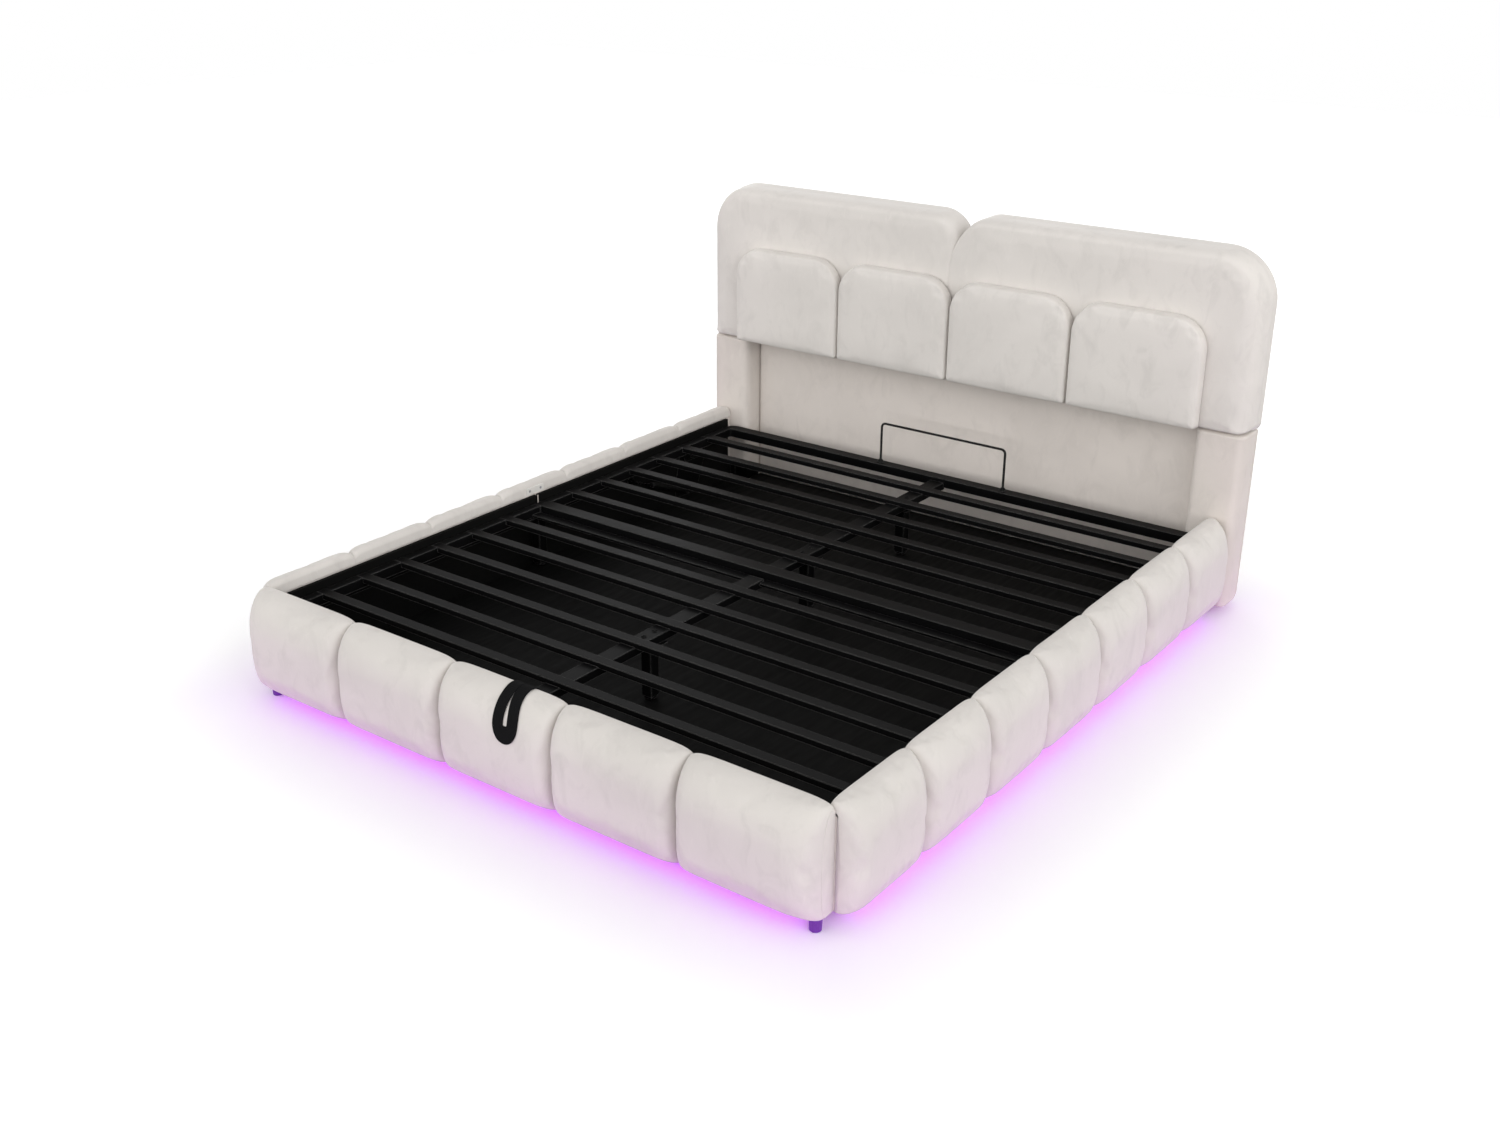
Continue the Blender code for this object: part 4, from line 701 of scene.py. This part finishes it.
def strap_drape():
    """Centre line of the strap in the YZ plane, from the front tube over the puff."""
    half = STRAP_THICKNESS / 2
    off = STRAP_CLEARANCE + half
    skin = [(FRONT_CROWN * u, RAIL_BOTTOM + (RAIL_TOP - RAIL_BOTTOM) * v) for u, v in PUFF_PROFILE_SHARES]
    path = [(FRAME_FOOT + STRAP_TAIL, SLAT_TOP + GAP + half), (FRAME_FOOT + off, SLAT_TOP + GAP + half),
            (FOOT + off, BOARD_TOP), (FOOT + off, skin[0][1])]
    for index in range(1, len(skin) - 1):
        run = np.array(skin[index + 1]) - np.array(skin[index - 1])
        normal = np.array((run[1], run[0])) / np.linalg.norm(run)
        here = np.array((FOOT - skin[index][0], skin[index][1])) + normal * off
        if here[1] < STRAP_BOTTOM:
            break
        path.append(tuple(here))
    path.append((float(FRONT_LOW[1]) - STRAP_CLEARANCE - half, STRAP_BOTTOM))
    return smooth_path(path, STRAP_DRAPE_STEPS)


def strap(webbing):
    """Webbing loop: two legs side by side, parting below the split, and a deep flat turn."""
    drape = strap_drape()
    steps = np.diff(drape, axis=0)
    run = np.concatenate([[0], np.cumsum(np.linalg.norm(steps, axis=1))])
    heading = np.gradient(drape, run, axis=0)
    straight = run[-1] - STRAP_TURN_DEPTH - STRAP_TURN_WIDTH / 2
    split = straight - STRAP_SPLIT
    second = STRAP_LEFT + STRAP_WIDTH + STRAP_SLIT

    def on_drape(distance):
        spot = np.array([np.interp(distance, run, drape[:, k]) for k in (0, 1)])
        along = np.array([np.interp(distance, run, heading[:, k]) for k in (0, 1)])
        return spot, np.array((along[1], -along[0])) / np.linalg.norm(along)

    legs = np.linspace(0, straight, STRAP_ROWS, endpoint=False)
    path = [(distance, STRAP_LEFT, STRAP_WIDTH, 0.0) for distance in legs]
    half_turn = (second + STRAP_SPREAD - STRAP_LEFT) / 2
    for angle in np.linspace(0, math.pi, STRAP_TURN_ROWS):
        width = STRAP_WIDTH + (STRAP_TURN_WIDTH - STRAP_WIDTH) * math.sin(angle) ** 2
        path.append((straight + STRAP_TURN_DEPTH * math.sin(angle),
                     STRAP_LEFT + half_turn - half_turn * math.cos(angle), width, angle))
    for distance in legs[::-1]:
        share = max((distance - split) / STRAP_SPLIT, 0)
        spread = STRAP_SPREAD * share * share * (3 - 2 * share)
        path.append((distance, second + spread, STRAP_WIDTH, math.pi))
    points = []
    for distance, place, width, angle in path:
        for edge, face in STRAP_SECTION_SHARES:
            sideways = edge * width / 2
            spot, outward = on_drape(distance - sideways * math.sin(angle))
            spot = spot - outward * (face * STRAP_THICKNESS / 2)
            points.append((place + sideways * math.cos(angle), spot[0], spot[1]))
    piece = new_piece("pull_strap_webbing", points, skin_faces(len(path), len(STRAP_SECTION_SHARES)), webbing)
    settle(piece, body="lift_frame", node="pull_strap")


# Screws: share of the radius and of the rise
SCREW_PROFILE_SHARES = ((1, 0), (1, 0.35), (0.86, 0.75), (0.6, 1), (0.42, 1), (0.36, 0.4), (0, 0.4))
SCREW_SIDES = 14
SCREW_LEAST_SHARE = 0.05
HOOP_SCREW_RADIUS, HOOP_SCREW_RISE = 0.0034, 0.0022
HOOP_SCREW_INSET, HOOP_SCREW_PITCH = 0.013, 0.017
HOOP_FOOT_THICKNESS = 0.0028
PLATE_SCREW_RADIUS, PLATE_SCREW_RISE = 0.0042, 0.0018
PLATE_SCREW_PITCH = 0.048
PLATE_SCREW_HEIGHT = 0.291
PLATE_THICKNESS = 0.002
LEG_BOLT_RADIUS, LEG_BOLT_RISE = 0.0075, 0.0035
LEG_BOLT_PITCH = 0.044
SPINE_TOP = SLAT_TOP - 0.013


def screw(name, spot, axis, radius, rise, material, body="bed_base"):
    """Low domed head with a round socket."""
    turn = Vector((0, 0, 1)).rotation_difference(Vector(axis)).to_matrix()
    points = []
    for out, up in SCREW_PROFILE_SHARES:
        for k in range(SCREW_SIDES):
            angle = 2 * math.pi * k / SCREW_SIDES
            around = Vector((math.cos(angle), math.sin(angle), 0)) * (radius * max(out, SCREW_LEAST_SHARE))
            points.append(Vector(spot) + turn @ (around + Vector((0, 0, rise * up))))
    piece = new_piece(name, points, skin_faces(len(SCREW_PROFILE_SHARES), SCREW_SIDES), material)
    settle(piece, body=body)


def screws(steel, coat):
    """Two heads on each hoop foot, mending plate and centre leg."""
    low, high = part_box("mattress_stop_hoop")
    line = (low[1] + high[1]) / 2
    for side, label in ((-1, "left"), (1, "right")):
        foot = side * (high[0] - HOOP_SCREW_INSET)
        for index, end in enumerate((-1, 1)):
            off = end * HOOP_SCREW_PITCH / 2
            screw(f"hoop_screw_{label}_{index + 1}", (foot + off, line, low[2] + HOOP_FOOT_THICKNESS),
                  (0, 0, 1), HOOP_SCREW_RADIUS, HOOP_SCREW_RISE, steel, "lift_frame")
        face = side * (SIDE - GAP - PLATE_THICKNESS)
        for index, end in enumerate((-1, 1)):
            spot = (face, MIDDLE + end * PLATE_SCREW_PITCH / 2, PLATE_SCREW_HEIGHT)
            screw(f"plate_screw_{label}_{index + 1}", spot, (-side, 0, 0),
                  PLATE_SCREW_RADIUS, PLATE_SCREW_RISE, steel)
    for label in ("front", "middle", "rear"):
        low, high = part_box(f"centre_leg_{label}")
        place = (low[1] + high[1]) / 2
        for index, end in enumerate((-1, 1)):
            spot = (0, place + end * LEG_BOLT_PITCH / 2, SPINE_TOP)
            screw(f"leg_bolt_{label}_{index + 1}", spot, (0, 0, 1),
                  LEG_BOLT_RADIUS, LEG_BOLT_RISE, coat, "lift_frame")


# Linings and trims
LINING_THICKNESS = 0.0012
LINING_RISE = 0.040
LINING_HEM = 0.008
JOINT_TRIM_WIDTH = 0.0035
JOINT_TRIM_HEIGHT = 0.085


def swept(name, path, section, material):
    """A strip with the section's shape, swept along a path of (x, y) or (y, z) places."""
    points = [place for spot in path for place in section(spot)]
    settle(new_piece(name, points, skin_faces(len(path), len(section(path[0]))), material))


def post_lining(label, side, lining):
    """Lining turned up against a post's front and inner side, with a hem along its top."""
    floor_top = float(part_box("storage_floor_rear")[1][2])
    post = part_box(f"headboard_post_{label}")
    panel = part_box(f"storage_side_panel_{label}_rear")
    wall = min(abs(panel[0][0]), abs(panel[1][0])) - GAP
    inner = min(abs(post[0][0]), abs(post[1][0])) - GAP
    front = float(post[0][1]) - GAP
    back = float(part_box("headboard_lower_panel")[0][1]) - GAP
    thick = LINING_THICKNESS
    low, high = floor_top + GAP, floor_top + LINING_RISE
    hem = high - LINING_HEM
    profile = ((0, low), (thick, low), (thick, hem), (2 * thick, hem + thick), (2 * thick, high - thick),
               (thick, high), (0, high))
    turns = np.linspace(0, math.pi / 2, 6)
    path = [(wall, front, 0.0)] + [(inner, front, turn) for turn in turns] + [(inner, back, math.pi / 2)]

    def section(spot):
        x, y, turn = spot
        return [(side * (x - out * math.sin(turn)), y - out * math.cos(turn), up) for out, up in profile]

    swept(f"post_lining_{label}", path if side < 0 else path[::-1], section, lining)


def joint_trim(label, side, velvet):
    """The cover's rolled edge, tucked in the joint of the two side panels."""
    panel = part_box(f"storage_side_panel_{label}_rear")
    wall = min(abs(panel[0][0]), abs(panel[1][0])) - GAP / 2
    half = JOINT_TRIM_WIDTH / 2

    def section(up):
        return [(side * (wall - half * 0.3 * math.sin(turn)), MIDDLE - half * math.cos(turn), up)
                for turn in np.linspace(0, math.pi, 7)]

    path = np.linspace(PANEL_TOP - JOINT_TRIM_HEIGHT, PANEL_TOP, 8)
    swept(f"panel_joint_trim_{label}", path if side < 0 else path[::-1], section, velvet)


def linings(lining, velvet):
    for side, label in ((-1, "left"), (1, "right")):
        post_lining(label, side, lining)
        joint_trim(label, side, velvet)


FINISHES = {
    "velvet_on_board": shaded_board_velvet_material, "black_steel": powder_material, "black_lining": lining_material,
    "white_steel": white_plate_material, "rod_nitrided": rod_material, "black_plastic": plastic_material,
    "webbing": webbing_material, "led_silicone": led_material,
}


def finish_nodes():
    """Give every CAD node that stays in sight its slot's finish."""
    made = {}
    for entry in frame["record"]["subparts"]:
        slot = entry["material_slot"]
        if slot in FINISHES:
            if slot not in made:
                made[slot] = FINISHES[slot]()
            node = frame["nodes"][entry["node"]]
            node.data.materials.clear()
            node.data.materials.append(made[slot])
    # The front feet get plastic with the strips' purple light painted into its colour.
    lit = plastic_with_painted_strip_glow_material()
    for label in ("left", "right"):
        foot = frame["nodes"][f"front_foot_{label}"]
        foot.data.materials.clear()
        foot.data.materials.append(lit)
    return made


# Stage: the floor and what the camera sees of it; near the bed its colour has the strips' purple glow and a
# darker shade painted in
FLOOR_REACH = 14
FLOOR_COLOUR = (0.22, 0.22, 0.22, 1)
FLOOR_NEAR_PAINTED_GLOW = (0.84, 0.36, 1.0, 1)
FLOOR_LIT_FADE = 0.40
FLOOR_SEEN_FAR = (1.22, 1.22, 1.22, 1)
FLOOR_SEEN_NEAR_PAINTED_GLOW_AND_SHADE = (1.08, 1.02, 1.14, 1)
FLOOR_FADE = 0.28


def bed_distance(n):
    """Distance on the floor from the bed's outline."""
    spot = n.add("ShaderNodeSeparateXYZ")
    n.link(n.place(), spot.inputs[0])
    outside = [n.math("MAXIMUM", n.math("SUBTRACT", n.math("ABSOLUTE", spot.outputs[axis], 0.0), reach), 0.0)
               for axis, reach in enumerate(map(float, cad_box[1][:2]))]
    squares = [n.math("POWER", value, 2.0) for value in outside]
    return n.math("SQRT", n.math("ADD", squares[0], squares[1]), 0.0)


def stage():
    mesh = bpy.data.meshes.new("floor")
    reach = FLOOR_REACH
    mesh.from_pydata([(-reach, -reach, 0), (reach, -reach, 0), (reach, reach, 0), (-reach, reach, 0)], [],
                     [(0, 1, 2, 3)])
    floor = bpy.data.objects.new("floor", mesh)
    bpy.context.collection.objects.link(floor)
    n = Nodes("pale_floor")
    away = bed_distance(n)
    # Painted glow: near the bed the floor's colour is the strips' purple, which it bounces onto the object.
    n.colour(n.mix(n.span(away, 0.0, FLOOR_LIT_FADE), FLOOR_NEAR_PAINTED_GLOW, FLOOR_COLOUR))
    n.set(Roughness=0.9, Specular_IOR_Level=0.0)
    seen = n.add("ShaderNodeBsdfDiffuse")
    # Painted glow and shade: near the bed the floor the camera sees is lavender and darker.
    n.link(n.mix(n.span(away, 0.0, FLOOR_FADE), FLOOR_SEEN_NEAR_PAINTED_GLOW_AND_SHADE, FLOOR_SEEN_FAR), seen.inputs["Color"])
    path = n.add("ShaderNodeLightPath")
    looked = n.math("MAXIMUM", path.outputs["Is Camera Ray"], n.math(
        "MAXIMUM", path.outputs["Is Glossy Ray"], path.outputs["Is Transmission Ray"]))
    choose = n.add("ShaderNodeMixShader")
    n.link(looked, choose.inputs[0])
    n.link(n.shader.outputs[0], choose.inputs[1])
    n.link(seen.outputs[0], choose.inputs[2])
    n.link(choose.outputs[0], n.output.inputs["Surface"])
    mesh.materials.append(n.material)


# Lights
WORLD_HORIZON = 2.00
WORLD_ZENITH = 0.15
SUN_SPREAD = 60
KEY_TOWARDS, KEY_STRENGTH = (0.92, -0.22, 0.30), 1.10
FILL_TOWARDS, FILL_STRENGTH = (-0.10, -0.97, 0.16), 0.72
REAR_SPOT, REAR_TARGET, REAR_SIZE, REAR_POWER = (-3.0, 4.6, 2.7), (0, 0, 0.3), (3.4, 1.8), 20


def world_light():
    """Soft light that is stronger from the sides than from above, and plain white when looked at."""
    world = bpy.data.worlds.new("soft_studio")
    bpy.context.scene.world = world
    world.use_nodes = True
    tree = world.node_tree
    tree.nodes.clear()
    output = tree.nodes.new("ShaderNodeOutputWorld")
    spot = tree.nodes.new("ShaderNodeTexCoord")
    height = tree.nodes.new("ShaderNodeSeparateXYZ")
    fade = tree.nodes.new("ShaderNodeMapRange")
    fade.inputs["To Min"].default_value = WORLD_HORIZON
    fade.inputs["To Max"].default_value = WORLD_ZENITH
    lit = tree.nodes.new("ShaderNodeBackground")
    lit.inputs["Color"].default_value = (1, 1, 1, 1)
    seen = tree.nodes.new("ShaderNodeBackground")
    seen.inputs["Color"].default_value = (1, 1, 1, 1)
    seen.inputs["Strength"].default_value = 1.0
    path = tree.nodes.new("ShaderNodeLightPath")
    looked = tree.nodes.new("ShaderNodeMath")
    looked.operation = "MAXIMUM"
    mix = tree.nodes.new("ShaderNodeMixShader")
    tree.links.new(spot.outputs["Generated"], height.inputs[0])
    tree.links.new(height.outputs["Z"], fade.inputs["Value"])
    tree.links.new(fade.outputs["Result"], lit.inputs["Strength"])
    mirrored = tree.nodes.new("ShaderNodeMath")
    mirrored.operation = "MAXIMUM"
    tree.links.new(path.outputs["Is Glossy Ray"], mirrored.inputs[0])
    tree.links.new(path.outputs["Is Transmission Ray"], mirrored.inputs[1])
    tree.links.new(path.outputs["Is Camera Ray"], looked.inputs[0])
    tree.links.new(mirrored.outputs[0], looked.inputs[1])
    tree.links.new(looked.outputs[0], mix.inputs[0])
    tree.links.new(lit.outputs[0], mix.inputs[1])
    tree.links.new(seen.outputs[0], mix.inputs[2])
    tree.links.new(mix.outputs[0], output.inputs["Surface"])


def area_light(name, spot, target, size, power):
    data = bpy.data.lights.new(name, "AREA")
    data.shape = "RECTANGLE"
    data.size = size[0]
    data.size_y = size[1]
    data.energy = power
    lamp = bpy.data.objects.new(name, data)
    lamp.location = spot
    lamp.rotation_euler = (Vector(target) - Vector(spot)).to_track_quat("-Z", "Y").to_euler()
    bpy.context.collection.objects.link(lamp)


def soft_sun(name, towards, spread, strength):
    """Even light from a wide patch of sky, the same over the whole object."""
    data = bpy.data.lights.new(name, "SUN")
    data.energy = strength
    data.angle = math.radians(spread)
    lamp = bpy.data.objects.new(name, data)
    lamp.rotation_euler = (-Vector(towards)).to_track_quat("-Z", "Y").to_euler()
    bpy.context.collection.objects.link(lamp)


def lights():
    world_light()
    soft_sun("key", KEY_TOWARDS, SUN_SPREAD, KEY_STRENGTH)
    soft_sun("fill", FILL_TOWARDS, SUN_SPREAD, FILL_STRENGTH)
    area_light("rear", REAR_SPOT, REAR_TARGET, REAR_SIZE, REAR_POWER)


def main():
    place_camera()
    velvet = velvet_material()
    made = finish_nodes()
    rails(velvet)
    headboard(velvet, made["velvet_on_board"])
    linings(made["black_lining"], made["velvet_on_board"])
    strap(made["webbing"])
    screws(screw_material(), made["black_steel"])
    stage()
    lights()
    bpy.context.scene.view_settings.view_transform = "Standard"


main()
